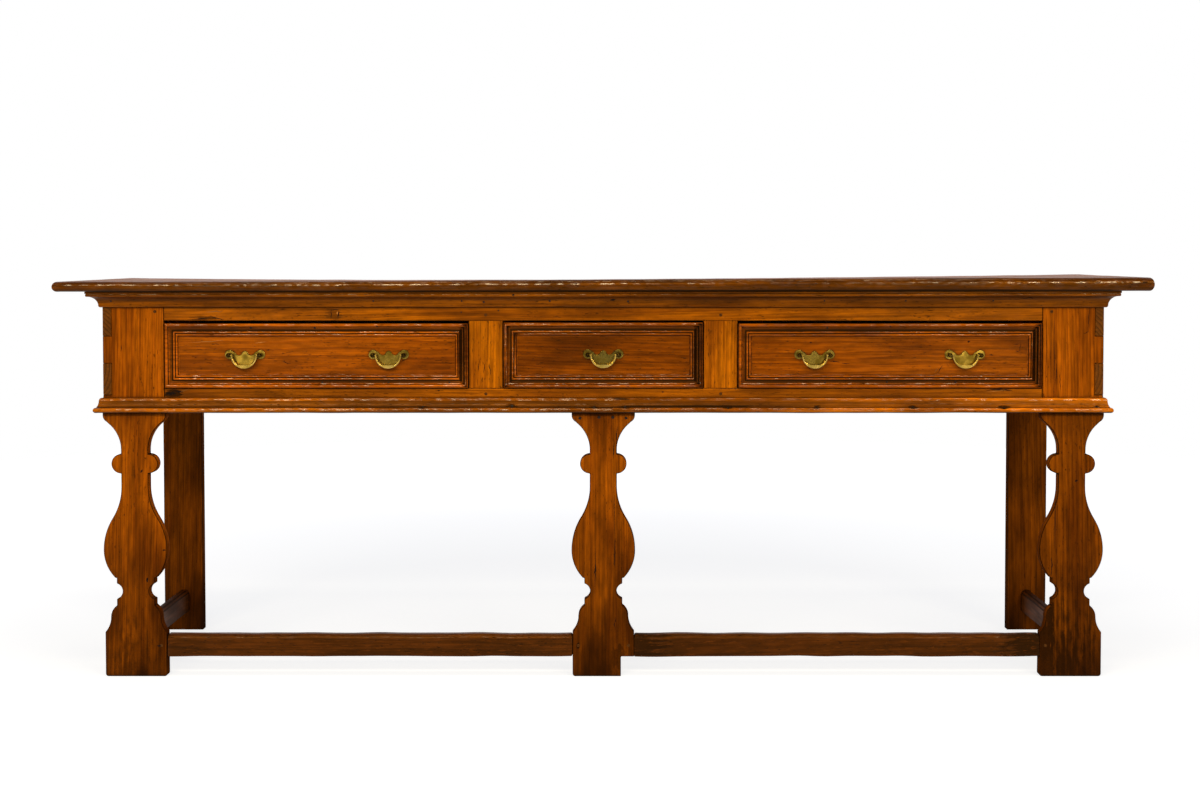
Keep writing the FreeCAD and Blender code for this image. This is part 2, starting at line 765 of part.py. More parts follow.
def framed_moulding(x, z, y):
    """Four mitred strips round a drawer front, planted on the plane at y."""
    middle = Vector((x[0] + x[1]) / 2, y, (z[0] + z[1]) / 2)
    width, height = x[1] - x[0], z[1] - z[0]
    strips = []
    for turn in range(4):
        along, across = (width, height) if turn % 2 == 0 else (height, width)
        strip = moulding_strip(along)
        strip.translate(Vector(0, 0, -across / 2))
        strip.rotate(Vector(0, 0, 0), Vector(0, 1, 0), 90 * turn)
        strip.translate(middle)
        strips.append(strip)
    return Part.makeCompound(strips)


def dovetails(side_z, shoulder_y, x, gap):
    """The tails at the front of a drawer side, as prisms across x, or their sockets with a gap."""
    pitch = (side_z[1] - side_z[0]) / dovetail_count
    root, tip = dovetail_root_width / 2 + gap, dovetail_tip_width / 2 + gap
    tip_y = shoulder_y - dovetail_length - gap
    tails = []
    for number in range(dovetail_count):
        z = side_z[0] + pitch * (number + 0.5)
        outline = [(shoulder_y, z - root), (shoulder_y, z + root), (tip_y, z + tip), (tip_y, z - tip)]
        corners = [Vector(x[0], y, height) for y, height in outline]
        tail = Part.Face(Part.makePolygon(corners + corners[:1]))
        tails.append(tail.extrude(Vector(x[1] - x[0], 0, 0)))
    return tails


def make_drawer(name, opening_x, top_gap, handle_places):
    """A drawer for an opening: dovetailed linings, a grooved bottom, a moulded front and its handles."""
    x = grown(opening_x, -drawer_side_gap)
    front_y = face_y + drawer_face_recess
    lining_y = front_y + drawer_front_thickness
    end_y = back_board_y - drawer_back_gap
    front_z = (opening_bottom_z + drawer_bottom_gap, opening_top_z - top_gap)
    side_z = (opening_bottom_z, front_z[1] - drawer_side_drop)
    bottom_z = opening_bottom_z + drawer_bottom_lift
    bottom = (bottom_z, bottom_z + drawer_bottom_thickness)
    tail_z = (bottom[1], side_z[1])
    left_x = (x[0], x[0] + drawer_lining_thickness)
    right_x = (x[1] - drawer_lining_thickness, x[1])
    inner_x = (left_x[1], right_x[0])
    groove_x = grown(inner_x, drawer_groove_depth)
    housed_x = grown(inner_x, drawer_housing_depth)
    back_lining_y = (end_y - drawer_back_inset - drawer_lining_thickness, end_y - drawer_back_inset)
    groove_y = (lining_y - drawer_groove_depth, end_y)
    slack = joint_clearance

    panel = block(groove_x, groove_y, bottom)
    groove = block(grown(groove_x, slack), grown(groove_y, slack), grown(bottom, slack))
    back_z = (bottom[1], side_z[1] - drawer_back_drop)
    back = block(housed_x, back_lining_y, back_z)
    housing = block(grown(housed_x, slack), grown(back_lining_y, slack), (bottom[0], back_z[1] + slack))

    front = block(x, (front_y, lining_y), front_z)
    cutters = [groove]
    for side, span in (("left", left_x), ("right", right_x)):
        board = block(span, (lining_y, end_y), side_z)
        board = joined(board, *dovetails(tail_z, lining_y, span, 0))
        nodes[f"drawer_{name}_side_{side}"] = carved(board, groove, housing)
        socket_x = (span[0] - slack, span[1]) if side == "right" else (span[0], span[1] + slack)
        cutters += dovetails(tail_z, lining_y, socket_x, slack)

    handle_z = (front_z[0] + front_z[1]) / 2 + handle_rise
    posts_x = [place + sign * post_spacing / 2 for place in handle_places for sign in SIDES.values()]
    hole_width = post_shank_width + 2 * post_hole_clearance
    pocket_width = post_nut_width + 2 * post_nut_pocket_margin
    for post_x in posts_x:
        cutters.append(block(around(post_x, hole_width), (front_y, lining_y), around(handle_z, hole_width)))
        pocket_y = (lining_y - nut_pocket_depth, lining_y)
        cutters.append(block(around(post_x, pocket_width), pocket_y, around(handle_z, pocket_width)))
    nodes[f"drawer_{name}_front"] = carved(front, *cutters)
    nodes[f"drawer_{name}_back"] = back
    nodes[f"drawer_{name}_bottom"] = panel
    nodes[f"drawer_{name}_moulding"] = framed_moulding(x, front_z, front_y)
    make_handles(name, handle_places, front_y, handle_z)


def handle_plate():
    """The crowned back plate about its pivot line, its back on Y = 0."""
    side = Outline(0, -plate_body_radius, small_curve_step)
    corner = plate_body_radius * math.sqrt(0.5)
    side.arc((corner, -corner), (plate_body_radius, 0))
    side.line(plate_body_radius, plate_dip_height)
    side.line(plate_hook_offset, plate_hook_height)
    side.tangent_arc(plate_dip_offset, plate_dip_height, LEVEL, at_end=True)
    side.ogee(0, plate_peak_height, LEVEL)
    body = face_of(side.edges + mirrored_edges(side.edges)).extrude(Vector(0, -plate_thickness, 0))
    hole_width = post_shank_width + 2 * post_hole_clearance
    lobes, holes = [], []
    for sign in SIDES.values():
        post = Vector(sign * post_spacing / 2, 0, 0)
        lobe_at = post + Vector(0, 0, plate_lobe_rise)
        lobe = Part.Face(ring_of(plate_lobe_sides, lobe_at, AXIS_X, AXIS_Z, plate_lobe_radius))
        lobes.append(lobe.extrude(AXIS_Y * -plate_thickness))
        holes.append(block(around(post.x, hole_width), (-plate_thickness, 0), around(0, hole_width)))
    return carved(joined(body, *lobes), *holes)


def handle_post(sign):
    """A cast post about the Y axis: domed head, square shank through the drawer front, and its nut."""
    head_y = -plate_thickness - post_standoff
    nut_y = drawer_front_thickness - nut_pocket_depth
    outline = [(-plate_thickness, post_neck_radius)]
    for turn in (0, 40, 75):
        dome = math.radians(turn)
        outline.append((head_y - post_head_radius * math.sin(dome), post_head_radius * math.cos(dome)))
    rings = [ring_of(post_sides, Vector(0, y, 0), AXIS_X, AXIS_Z, radius) for y, radius in outline]
    head = skinned(rings)
    shank_span = around(0, post_shank_width)
    shank = block(shank_span, (-plate_thickness, drawer_front_thickness), shank_span)
    nut_span = around(0, post_nut_width)
    nut = block(nut_span, (nut_y, nut_y + post_nut_thickness), nut_span)
    eye_radius = (bail_pivot_radius + bail_pivot_clearance) / math.cos(math.pi / post_sides)
    eye_start = Vector(-sign * post_head_radius, head_y, 0)
    eye = Part.Face(ring_of(post_sides, eye_start, AXIS_Y, AXIS_Z, eye_radius))
    eye = eye.extrude(AXIS_X * sign * (bail_pivot_depth + bail_eye_spare_depth))
    return carved(joined(head, shank, nut), eye)


def handle_bail():
    """The drop handle about its pivot line: a half ring, thicker in the middle, with a pivot at each end."""
    rings = []
    for number in range(bail_sections):
        turn = (math.pi + 2 * bail_end_turn) * number / (bail_sections - 1) - bail_end_turn
        outward = Vector(-math.cos(turn), 0, -math.sin(turn))
        swell = (bail_middle_radius - bail_end_radius) * math.sin(turn) ** 2
        rings.append(ring_of(bail_sides, outward * bail_radius, outward, AXIS_Y, bail_end_radius + swell))
    ring = skinned(rings)
    pivots = []
    for sign in SIDES.values():
        end = Vector(sign * bail_radius, 0, 0)
        pivots.append(Part.makeCylinder(bail_pivot_radius, bail_reach - bail_radius, end, AXIS_X * sign))
    return joined(ring, *pivots)


def make_handles(name, places, front_y, z):
    """The plates, posts and bails of one drawer's handles."""
    plates, posts = [], []
    for number, x in enumerate(places):
        at = Vector(x, front_y, z)
        plate = handle_plate()
        plate.translate(at)
        plates.append(plate)
        for sign in SIDES.values():
            post = handle_post(sign)
            post.translate(at + Vector(sign * post_spacing / 2, 0, 0))
            posts.append(post)
        bail = handle_bail()
        bail.translate(at - Vector(0, plate_thickness + post_standoff, 0))
        suffix = f"_{list(SIDES)[number]}" if len(places) > 1 else ""
        nodes[f"drawer_{name}_bail{suffix}"] = bail
    nodes[f"drawer_{name}_handle_plates"] = Part.makeCompound(plates)
    nodes[f"drawer_{name}_handle_posts"] = Part.makeCompound(posts)


def make_drawers():
    """A wide drawer at each side and a narrow one in the middle."""
    side_x = (opening_edge - side_opening_width, opening_edge)
    middle_x = sum(side_x) / 2
    offsets = {"left": left_handle_offset, "right": right_handle_offset}
    for side, sign in SIDES.items():
        span = side_x if sign > 0 else (-side_x[1], -side_x[0])
        places = [sign * middle_x - offsets[side], sign * middle_x + offsets[side]]
        make_drawer(side, span, side_drawer_top_gap, places)
    make_drawer("centre", around(0, centre_opening_width), centre_drawer_top_gap, [0])


def main():
    make_top()
    make_mouldings()
    pegs = make_pegs()
    make_front_legs(pegs)
    make_front_frame(pegs)
    make_sides_and_back()
    make_stretchers(pegs)
    make_leg_block()
    make_bearers()
    make_drawers()
    os.makedirs("parts", exist_ok=True)
    for name, shape in nodes.items():
        shape.exportStep(f"parts/{name}.step")
        print(f"{name}: {len(shape.Solids)} solid(s), {shape.Volume / 1000:.1f} cm3, valid {shape.isValid()}")


main()
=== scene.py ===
"""Dresser base in aged pine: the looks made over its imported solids, laid out as an add-on."""

import json
import math
import random

import bmesh
import bpy
from bpy.props import FloatProperty, FloatVectorProperty, PointerProperty
from mathutils import Matrix, Vector, noise
from mathutils.bvhtree import BVHTree

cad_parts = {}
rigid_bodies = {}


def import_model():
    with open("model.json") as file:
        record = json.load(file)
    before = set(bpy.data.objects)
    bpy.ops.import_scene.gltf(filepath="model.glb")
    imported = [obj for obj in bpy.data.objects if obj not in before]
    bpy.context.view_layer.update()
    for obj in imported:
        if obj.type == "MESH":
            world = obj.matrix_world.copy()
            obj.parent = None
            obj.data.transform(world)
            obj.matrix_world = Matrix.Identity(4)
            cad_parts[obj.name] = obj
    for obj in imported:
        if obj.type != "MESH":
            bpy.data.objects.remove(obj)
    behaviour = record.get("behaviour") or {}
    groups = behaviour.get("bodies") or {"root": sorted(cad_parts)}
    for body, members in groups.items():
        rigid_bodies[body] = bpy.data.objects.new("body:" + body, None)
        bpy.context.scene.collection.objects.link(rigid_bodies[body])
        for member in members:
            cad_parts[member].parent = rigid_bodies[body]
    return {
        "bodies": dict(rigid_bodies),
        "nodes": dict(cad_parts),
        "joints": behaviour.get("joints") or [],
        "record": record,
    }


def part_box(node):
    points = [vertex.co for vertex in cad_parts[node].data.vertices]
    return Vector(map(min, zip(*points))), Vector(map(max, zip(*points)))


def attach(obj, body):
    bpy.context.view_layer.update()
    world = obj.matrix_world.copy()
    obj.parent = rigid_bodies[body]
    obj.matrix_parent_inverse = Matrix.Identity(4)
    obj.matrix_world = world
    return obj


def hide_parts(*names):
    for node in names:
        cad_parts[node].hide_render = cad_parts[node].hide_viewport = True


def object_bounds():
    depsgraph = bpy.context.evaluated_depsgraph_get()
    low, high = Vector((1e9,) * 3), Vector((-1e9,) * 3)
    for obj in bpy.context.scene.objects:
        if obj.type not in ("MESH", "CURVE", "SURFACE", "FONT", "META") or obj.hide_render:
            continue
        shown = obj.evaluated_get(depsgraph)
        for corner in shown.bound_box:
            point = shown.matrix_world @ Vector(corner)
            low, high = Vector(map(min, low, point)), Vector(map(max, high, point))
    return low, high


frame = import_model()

CAD_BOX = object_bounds()

bl_info = {
    "name": "Dresser Base",
    "version": (1, 0, 0),
    "blender": (4, 5, 0),
    "location": "View3D > Sidebar > Dresser",
    "description": "Aged pine dresser base with brass drop handles, made over its packed solids",
    "category": "Object",
}

MM = 0.001
X, Y, Z = range(3)
BACKWARD = Vector((0, 1, 0))
SIDES = ("left", "right")
DRAWERS = ("left", "centre", "right")
BAILS = [name for name in frame["bodies"] if "bail" in name]
BODIES = frame["record"]["behaviour"]["bodies"]
BODY_OF = {node: body for body, nodes in BODIES.items() for node in nodes}
HINGES = [joint for joint in frame["joints"] if joint["type"] == "hinge"]
PIVOT_OF = {joint["child"]: Vector(joint["pos_m"]) for joint in HINGES}
CORNICE_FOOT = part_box("cornice_front")[0].z
TOP_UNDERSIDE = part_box("top_front_board")[0].z
POST_PLACE = 32.5 * MM
HOLE_RIM = 6.5 * MM
EDGE_WEAR = 0.9 * MM
PLANE_STROKE = 70 * MM
FINE_SLICE = 20 * MM
SLICE = 30 * MM
LONG_SLICE = 50 * MM
QUIRK_LEVEL = -0.45


def linear(hex_colour):
    """An sRGB hex colour as linear red, green and blue."""
    parts = [int(hex_colour[i : i + 2], 16) / 255 for i in (0, 2, 4)]
    return tuple(p / 12.92 if p <= 0.04045 else ((p + 0.055) / 1.055) ** 2.4 for p in parts)


def colour(name, hex_colour):
    """A colour setting."""
    return FloatVectorProperty(
        name=name,
        description=f"Colour: {name.lower()}",
        subtype="COLOR",
        default=linear(hex_colour),
        min=0,
        max=1,
    )


def length(name, description, millimetres):
    """A size setting."""
    return FloatProperty(name=name, description=description, default=millimetres * MM, unit="LENGTH")


def power(name, description, watts):
    """A lamp setting."""
    return FloatProperty(name=name, description=description, default=watts, subtype="POWER")


class DresserWood(bpy.types.PropertyGroup):
    """Sizes and colours of the wood."""

    ring_spacing: length("Ring spacing", "Width of a growth ring, drawn coarse enough to show", 7.5)
    top_tilt: length("Top tilt", "How far the front of the top rises at the middle", 4.3)
    under_rise: length("Underside rise", "How far the underside of the top stands up at the middle", 1.8)
    under_tilt: length("Underside tilt", "How far the underside rises further at its right end", 1.0)
    top_twist: length("Top twist", "How far the back corners of the top have warped up", 7.5)
    top_bow: length("Top bow", "How far the back of the top sags in the middle", 2.0)
    case_early: colour("Case pine, early wood", "B06005")
    case_late: colour("Case pine, late wood", "6A3002")
    case_patina: colour("Case pine, patina", "582603")
    drawer_early: colour("Drawer pine, early wood", "964B04")
    drawer_late: colour("Drawer pine, late wood", "561E02")
    drawer_patina: colour("Drawer pine, patina", "441702")
    muntin_early: colour("Upright pine, early wood", "BE6A05")
    muntin_late: colour("Upright pine, late wood", "8E4503")
    muntin_patina: colour("Upright pine, patina", "7E3802")
    leg_early: colour("Leg pine, early wood", "964D04")
    leg_late: colour("Leg pine, late wood", "5C2403")
    leg_patina: colour("Leg pine, patina", "4A1A02")
    stretcher_early: colour("Stretcher pine, early wood", "5C2E0C")
    stretcher_late: colour("Stretcher pine, late wood", "301505")
    stretcher_patina: colour("Stretcher pine, patina", "240F04")
    lining_early: colour("Lining pine, early wood", "C79A5E")
    lining_late: colour("Lining pine, late wood", "A87840")
    lining_patina: colour("Lining pine, patina", "94693A")
    peg_early: colour("Peg oak, early wood", "6A3A14")
    peg_late: colour("Peg oak, late wood", "3E200C")
    peg_patina: colour("Peg oak, patina", "30180A")
    bare_early: colour("Bared pine, early wood", "C08040")
    bare_late: colour("Bared pine, late wood", "8A5020")
    bare_patina: colour("Bared pine, patina", "8A5020")
    end_grain: colour("End grain", "50321A")
    # Dark colour for real soiling, and also for painted shade in the quirks, corners, joints and under the
    # top.
    grime: colour("Grime", "120702")
    wax: colour("Wax gloss", "FFB058")


class DresserBrass(bpy.types.PropertyGroup):
    """Sizes and colours of the handles, and colours of the nails and scars."""

    bail_radius: length("Bail radius", "Radius of the half ring", 25.5)
    bail_end: length("Bail end", "Radius of the rod at the ends of the bail", 2.1)
    bail_middle: length("Bail middle", "Radius of the rod in the middle of the bail", 3.1)
    bail_flat: length("Bail flat", "How far below the pivots the flat inner edge of the bail is", 20.6)
    pivot_radius: length("Pivot radius", "Radius of the pivots", 1.6)
    plate_rim: length("Plate rim", "Width of the bevelled rim of the back plates", 1.0)
    post_head: length("Post head", "Radius of the post's domed head", 4.9)
    bright: colour("Bright brass", "A68C3C")
    dull: colour("Dull brass", "705C1E")
    tarnish: colour("Tarnish", "241A08")
    grip: colour("Hand-polished brass", "D2B25C")
    post: colour("Post brass", "4A3A16")
    iron: colour("Nail iron", "0E0805")
    rust: colour("Nail rust", "2A1408")
    dust: colour("Dirt in scars", "1E0D05")


class DresserStage(bpy.types.PropertyGroup):
    """Camera and light."""

    camera_place: FloatVectorProperty(
        name="Camera place",
        description="Where the camera stands",
        subtype="TRANSLATION",
        default=(0.0321, -3.5243, 0.856),
    )
    camera_tilt: FloatProperty(
        name="Camera tilt", description="How far the camera looks down", subtype="ANGLE", default=0.03097
    )
    focal: FloatProperty(name="Focal length", description="In mm, for a 36 mm sensor", default=47.33)
    shift: FloatVectorProperty(
        name="Lens shift", description="Shift that frames the picture", size=2, default=(-0.01545, -0.0667)
    )
    key_power: power("Key lamp", "Power of the main lamp", 70)
    fill_power: power("Fill lamp", "Power of the second lamp", 40)
    top_power: power("Top lamp", "Power of the lamp overhead", 24)
    side_power: power("Side lamps", "Power of the low lamp on each side", 5.6)
    lamp_colour: colour("Lamp colour", "FFEAB8")
    paper: colour("Floor paper", "A4ABC0")
    ambient: FloatProperty(
        name="Ambient", description="Strength of the light from all round", default=0.22, min=0
    )
    dim_front: FloatProperty(
        name="Dim front", description="How bright the front of the studio looks in gloss", default=0.1, min=0
    )


def opaque(rgb):
    """A colour setting with full alpha."""
    return (*rgb, 1)


def wire(tree, node, inputs):
    """Sets a node's inputs, named or in its own order, to values, or links them to other nodes."""
    for key, value in inputs.items() if isinstance(inputs, dict) else enumerate(inputs):
        if isinstance(value, bpy.types.Node):
            value = next(socket for socket in value.outputs if socket.enabled)
        if isinstance(value, bpy.types.NodeSocket):
            tree.links.new(value, node.inputs[key])
        else:
            node.inputs[key].default_value = value


def add(tree, kind, inputs=(), **settings):
    """A new shader node with its settings and inputs."""
    node = tree.nodes.new(f"ShaderNode{kind}")
    for key, value in settings.items():
        setattr(node, key, value)
    wire(tree, node, inputs)
    return node


def new_material(name):
    """An empty node material and its shader."""
    material = bpy.data.materials.new(name)
    material.use_nodes = True
    tree = material.node_tree
    tree.nodes.clear()
    shader = add(tree, "BsdfPrincipled")
    add(tree, "OutputMaterial", {"Surface": shader})
    return material, tree, shader


# Below, a Map Range is given a value, the two levels it is read between and the two it is turned to,
# and inputs 6 and 7 of a Mix are its two colours.


def in_cells(tree, board, along_mm, across_mm, place):
    """The place on a board, counted in cells of a real length along the grain and a real width across it."""
    scale = (1 / (along_mm * MM), 1 / (across_mm * MM), 1 / (across_mm * MM))
    return add(tree, "VectorMath", (board, scale, (place,) * 3), operation="MULTIPLY_ADD")


def streaks(tree, board, along_mm, across_mm, low, high, detail, place):
    """Streaks of a real length and width, as noise made steeper between two levels."""
    cells = in_cells(tree, board, along_mm, across_mm, place)
    cloud = add(tree, "TexNoise", {"Vector": cells, "Scale": 1.0, "Detail": detail})
    return add(tree, "MapRange", (cloud, low, high), interpolation_type="SMOOTHSTEP")


def pits(tree, board, along_mm, across_mm, rarity, size, place):
    """Small dents and worm holes: one in some of the cells of a real size, drawn out along the grain."""
    cells = in_cells(tree, board, along_mm, across_mm, place)
    spots = add(tree, "TexVoronoi", {"Vector": cells, "Scale": 1.0}).outputs
    chance = add(tree, "SeparateColor", (spots["Color"],))
    reach = add(tree, "MapRange", (chance, rarity, 1.0, 0.001, size))
    near = add(tree, "Math", (spots["Distance"], reach), operation="DIVIDE")
    return add(tree, "MapRange", (near, 0.6, 1.1, 1.0, 0.0))


# Streaks in the wood: length and width in mm, the two levels of noise, its detail and its place.
# Fibres are finer than this in fact: they are drawn as coarse as the picture can show.
STREAKS = {
    "sway": (420, 90, 0.0, 1.0, 2.0, 0.0),
    "fibre": (150, 3.2, 0.3, 0.7, 3.0, 0.0),
    "streak": (420, 11, 0.3, 0.7, 2.0, 7.0),
    "patch": (240, 75, 0.38, 0.68, 3.0, 3.0),
    "mottle": (34, 9, 0.3, 0.7, 3.0, 17.0),
    "planing": (60, 26, 0.2, 0.8, 1.0, 9.0),
    "gather": (130, 70, 0.32, 0.56, 1.0, 11.0),
    "glint": (16, 5, 0.45, 0.63, 2.0, 29.0),
    "scuff": (22, 4, 0.58, 0.68, 3.0, 13.0),
}
RING_SWAY = 30 * MM
FOOT_DARK_HEIGHT = 420 * MM


def pine(
    name,
    kind,
    marks=(),
    foot_dark=0.0,
    polish=0.24,
    shine=0.3,
    coat=0.06,
    edge=0.25,
    flecked=0.36,
    scuff=0.0,
):
    """Old softwood under wax, planed by hand: rings, fibres, patina, flecks, and soiling and painted shade
    in the corners.
    """
    wood = bpy.context.scene.dresser_wood
    early, late, patina = (opaque(getattr(wood, f"{kind}_{part}")) for part in ("early", "late", "patina"))
    material, tree, shader = new_material(name)
    board = add(tree, "Attribute", attribute_name="board").outputs["Vector"]
    tone, figure, worn, end, crest = (
        add(tree, "Attribute", attribute_name=layer).outputs["Fac"]
        for layer in ("tone", "figure", "worn", "end", "crest")
    )
    place = add(tree, "TexCoord").outputs["Object"]
    sway, fibre, streak, patch, mottle, planing, gather, glint = (
        streaks(tree, board, *sizes) for layer, sizes in STREAKS.items() if layer != "scuff"
    )

    # Growth rings cut by the board's face, swaying along it.
    parts = add(tree, "SeparateXYZ", (board,)).outputs
    across = add(tree, "Math", (sway, RING_SWAY, parts[1]), operation="MULTIPLY_ADD")
    ring_place = add(tree, "CombineXYZ", {1: across, 2: parts[2]})
    radius = add(tree, "VectorMath", (ring_place,), operation="LENGTH")
    turns = add(tree, "Math", (radius, wood.ring_spacing), operation="DIVIDE")
    ring = add(tree, "Math", (turns,), operation="FRACT")
    ring = add(tree, "Math", (ring, 3.0), operation="POWER")

    # Flecks lie in groups with a worm hole here and there, and the beads have been knocked.
    # Flecks, too, are drawn as coarse as the picture can show.
    fleck = streaks(tree, board, 12, 2.4, 1 - flecked, 1.07 - flecked, 1.0, 19.0)
    fleck = add(tree, "Math", (fleck, gather), operation="MULTIPLY")
    hole = pits(tree, board, 90, 52, 0.45, 0.052, 5.0)
    dents = add(tree, "Math", (fleck, hole), operation="MAXIMUM")
    side_grain = add(tree, "Math", (1.0, end), operation="SUBTRACT")
    dents = add(tree, "Math", (dents, side_grain), operation="MULTIPLY")
    ding = pits(tree, board, 24, 10, 0.7, 0.4, 23.0)
    knocked = add(tree, "MapRange", (crest, 0.0, 0.3, 0.15, 1.0))
    ding = add(tree, "Math", (ding, knocked), operation="MULTIPLY")

    ring_share = add(tree, "Math", (ring, figure), operation="MULTIPLY")
    tint = add(tree, "Mix", {0: ring_share, 6: early, 7: late}, data_type="RGBA")
    patch_share = add(tree, "Math", (patch, 0.65), operation="MULTIPLY")
    tint = add(tree, "Mix", {0: patch_share, 6: tint, 7: patina}, data_type="RGBA")
    shade = tone
    for layer, strength in ((fibre, 0.56), (streak, 0.28), (mottle, 0.36)):
        layer = add(tree, "Math", (layer, strength, 1 - strength / 2), operation="MULTIPLY_ADD")
        shade = add(tree, "Math", (shade, layer), operation="MULTIPLY")
    tint = add(tree, "VectorMath", {0: tint, "Scale": shade}, operation="SCALE")
    edge_share = add(tree, "Math", (worn, max(0.0, edge)), operation="MULTIPLY")
    tint = add(tree, "Mix", {0: edge_share, 6: tint, 7: early}, data_type="RGBA")
    # Beads and other rounded crests are lightened: partly wear, partly a painted highlight.
    rubbed_and_highlit = add(tree, "MapRange", (crest, 0.1, 0.7, 1.0, 1.85))
    tint = add(tree, "VectorMath", {0: tint, "Scale": rubbed_and_highlit}, operation="SCALE")
    end_share = add(tree, "Math", (end, 0.72), operation="MULTIPLY")
    tint = add(tree, "Mix", {0: end_share, 6: tint, 7: opaque(wood.end_grain)}, data_type="RGBA")

    # Darkened: old wax and soiling in the flecks, end grain and stains; partly soiling and partly painted
    # shade in the quirks, in the corners and along the joints; and darker towards the feet.
    # Partly painted shade, partly soiling: the nearer other surfaces close in, within 6 mm and within 22 mm,
    # the darker the wood.
    near = add(tree, "AmbientOcclusion", {"Distance": 6 * MM}, samples=6).outputs["AO"]
    near = add(tree, "MapRange", (near, 0.5, 0.97, 0.98, 0.0))
    far = add(tree, "AmbientOcclusion", {"Distance": 22 * MM}, samples=4).outputs["AO"]
    far = add(tree, "MapRange", (far, 0.3, 0.92, 0.85, 0.0))
    # Hollows of a profile are darkened: partly old wax and soiling in the quirks, partly painted shade.
    quirk = add(tree, "MapRange", (crest, -0.02, -0.36, 0.0, 0.97))
    end_rings = add(tree, "Math", (ring, end_share), operation="MULTIPLY")
    dent_share = add(tree, "Math", (dents, 0.7), operation="MULTIPLY")
    soil_and_shade_layers = [far, end_rings, quirk, dent_share]
    # On the legs the worn arrises are darkened: partly soiling, partly a painted dark reflection along the
    # rounded edges.
    if edge < 0:
        soil_and_shade_layers.append(add(tree, "Math", (worn, -edge), operation="MULTIPLY"))
    # Darker towards the floor, over the lowest 420 mm.
    if foot_dark:
        height = add(tree, "SeparateXYZ", (place,)).outputs[2]
        low = add(tree, "MapRange", (height, 0.0, FOOT_DARK_HEIGHT, foot_dark, 0.0))
        cloud = add(tree, "Math", (patch, 0.5, 0.7), operation="MULTIPLY_ADD")
        soil_and_shade_layers.append(add(tree, "Math", (low, cloud), operation="MULTIPLY"))
    rough = None
    for centre, reach, strength, blur in marks:
        offset = add(tree, "VectorMath", (place, Vector(centre) * MM), operation="SUBTRACT")
        offset = add(tree, "VectorMath", (offset, Vector(reach) * MM), operation="DIVIDE")
        away = add(tree, "VectorMath", (offset,), operation="LENGTH")
        ragged = add(tree, "Math", (mottle, 0.6, away), operation="MULTIPLY_ADD")
        ragged = add(tree, "Math", (fibre, 0.4, ragged), operation="MULTIPLY_ADD")
        mark = add(tree, "MapRange", (ragged, 1.4 - blur, 1.4 + blur, strength, 0.0))
        rough = add(tree, "Math", (rough, mark), operation="MAXIMUM") if rough else mark
    if rough:
        soil_and_shade_layers.append(rough)
    darkening = near
    for layer in soil_and_shade_layers:
        darkening = add(tree, "Math", (darkening, layer), operation="MAXIMUM")
    tint = add(tree, "Mix", {0: darkening, 6: tint, 7: opaque(wood.grime)}, data_type="RGBA")
    if scuff:
        scuffs = streaks(tree, board, *STREAKS["scuff"])
        scuffs = add(tree, "Math", (scuffs, scuff), operation="MULTIPLY")
        tint = add(tree, "Mix", {0: scuffs, 6: tint, 7: early}, data_type="RGBA")

    # Wax shines in broken glints where hands rub it, on wood that faces up, away from the end grain and from
    # the darkening, which is partly soiling and partly painted shade.
    gloss = add(tree, "Math", (patch, 0.1, polish), operation="MULTIPLY_ADD")
    gloss = add(tree, "Math", (darkening, 0.4, gloss), operation="MULTIPLY_ADD")
    handled = add(tree, "Math", (worn, 0.2, crest), operation="MULTIPLY_ADD")
    waxed = add(tree, "MapRange", (handled, 0.05, 0.35, coat, 15 * coat))
    dry = add(tree, "Math", (darkening, end), operation="MAXIMUM")
    undarkened = add(tree, "Math", (1.0, dry), operation="SUBTRACT")
    up = add(tree, "SeparateXYZ", (add(tree, "NewGeometry").outputs["Normal"],)).outputs[2]
    up = add(tree, "MapRange", (up, -0.02, 0.12, 0.1, 1.0))
    for share in (undarkened, glint, up):
        waxed = add(tree, "Math", (waxed, share), operation="MULTIPLY")

    relief = 0.0
    for layer, depth in ((planing, 0.5), (mottle, 0.14), (fibre, 0.08), (dents, -1.0), (ding, -1.0)):
        relief = add(tree, "Math", (layer, depth, relief), operation="MULTIPLY_ADD")
    if rough:
        torn = add(tree, "TexNoise", {"Vector": place, "Scale": 1 / (5 * MM), "Detail": 2.0})
        torn = add(tree, "Math", (torn, 6.0), operation="MULTIPLY")
        relief = add(tree, "Math", (torn, rough, relief), operation="MULTIPLY_ADD")
    bump = add(tree, "Bump", {"Strength": 0.7, "Distance": 0.6 * MM, "Height": relief})
    inputs = {
        "Base Color": tint,
        "Roughness": gloss,
        "Normal": bump,
        "Specular IOR Level": shine,
        "Specular Tint": opaque(wood.wax),
        "Coat Weight": waxed,
        "Coat Roughness": 0.2,
        "Coat IOR": 1.9,
        "Coat Normal": bump,
    }
    wire(tree, shader, inputs)
    return material


def aged_brass(name, bright, dull, tarnish):
    """Cast brass with old lacquer: yellow on the rubbed crowns, olive and brown where hands do not reach."""
    material, tree, shader = new_material(name)
    place = add(tree, "TexCoord").outputs["Object"]
    cloud = add(tree, "TexNoise", {"Vector": place, "Scale": 1 / (15 * MM), "Detail": 3.0})
    grit = add(tree, "TexNoise", {"Vector": place, "Scale": 1 / (2.4 * MM), "Detail": 2.0})
    share = add(tree, "MapRange", (cloud, 0.36, 0.64))
    metal = add(tree, "Mix", {0: share, 6: opaque(bright), 7: opaque(dull)}, data_type="RGBA")
    corner = add(tree, "AmbientOcclusion", {"Distance": 4 * MM}, samples=6).outputs["AO"]
    darkening = add(tree, "MapRange", (corner, 0.2, 0.8, 0.9, 0.0))
    metal = add(tree, "Mix", {0: darkening, 6: metal, 7: opaque(tarnish)}, data_type="RGBA")
    gloss = add(tree, "MapRange", (cloud, 0.3, 0.7, 0.2, 0.36))
    bump = add(tree, "Bump", {"Strength": 0.3, "Distance": 0.3 * MM, "Height": grit})
    wire(tree, shader, {"Base Color": metal, "Roughness": gloss, "Normal": bump, "Metallic": 1.0})
    return material


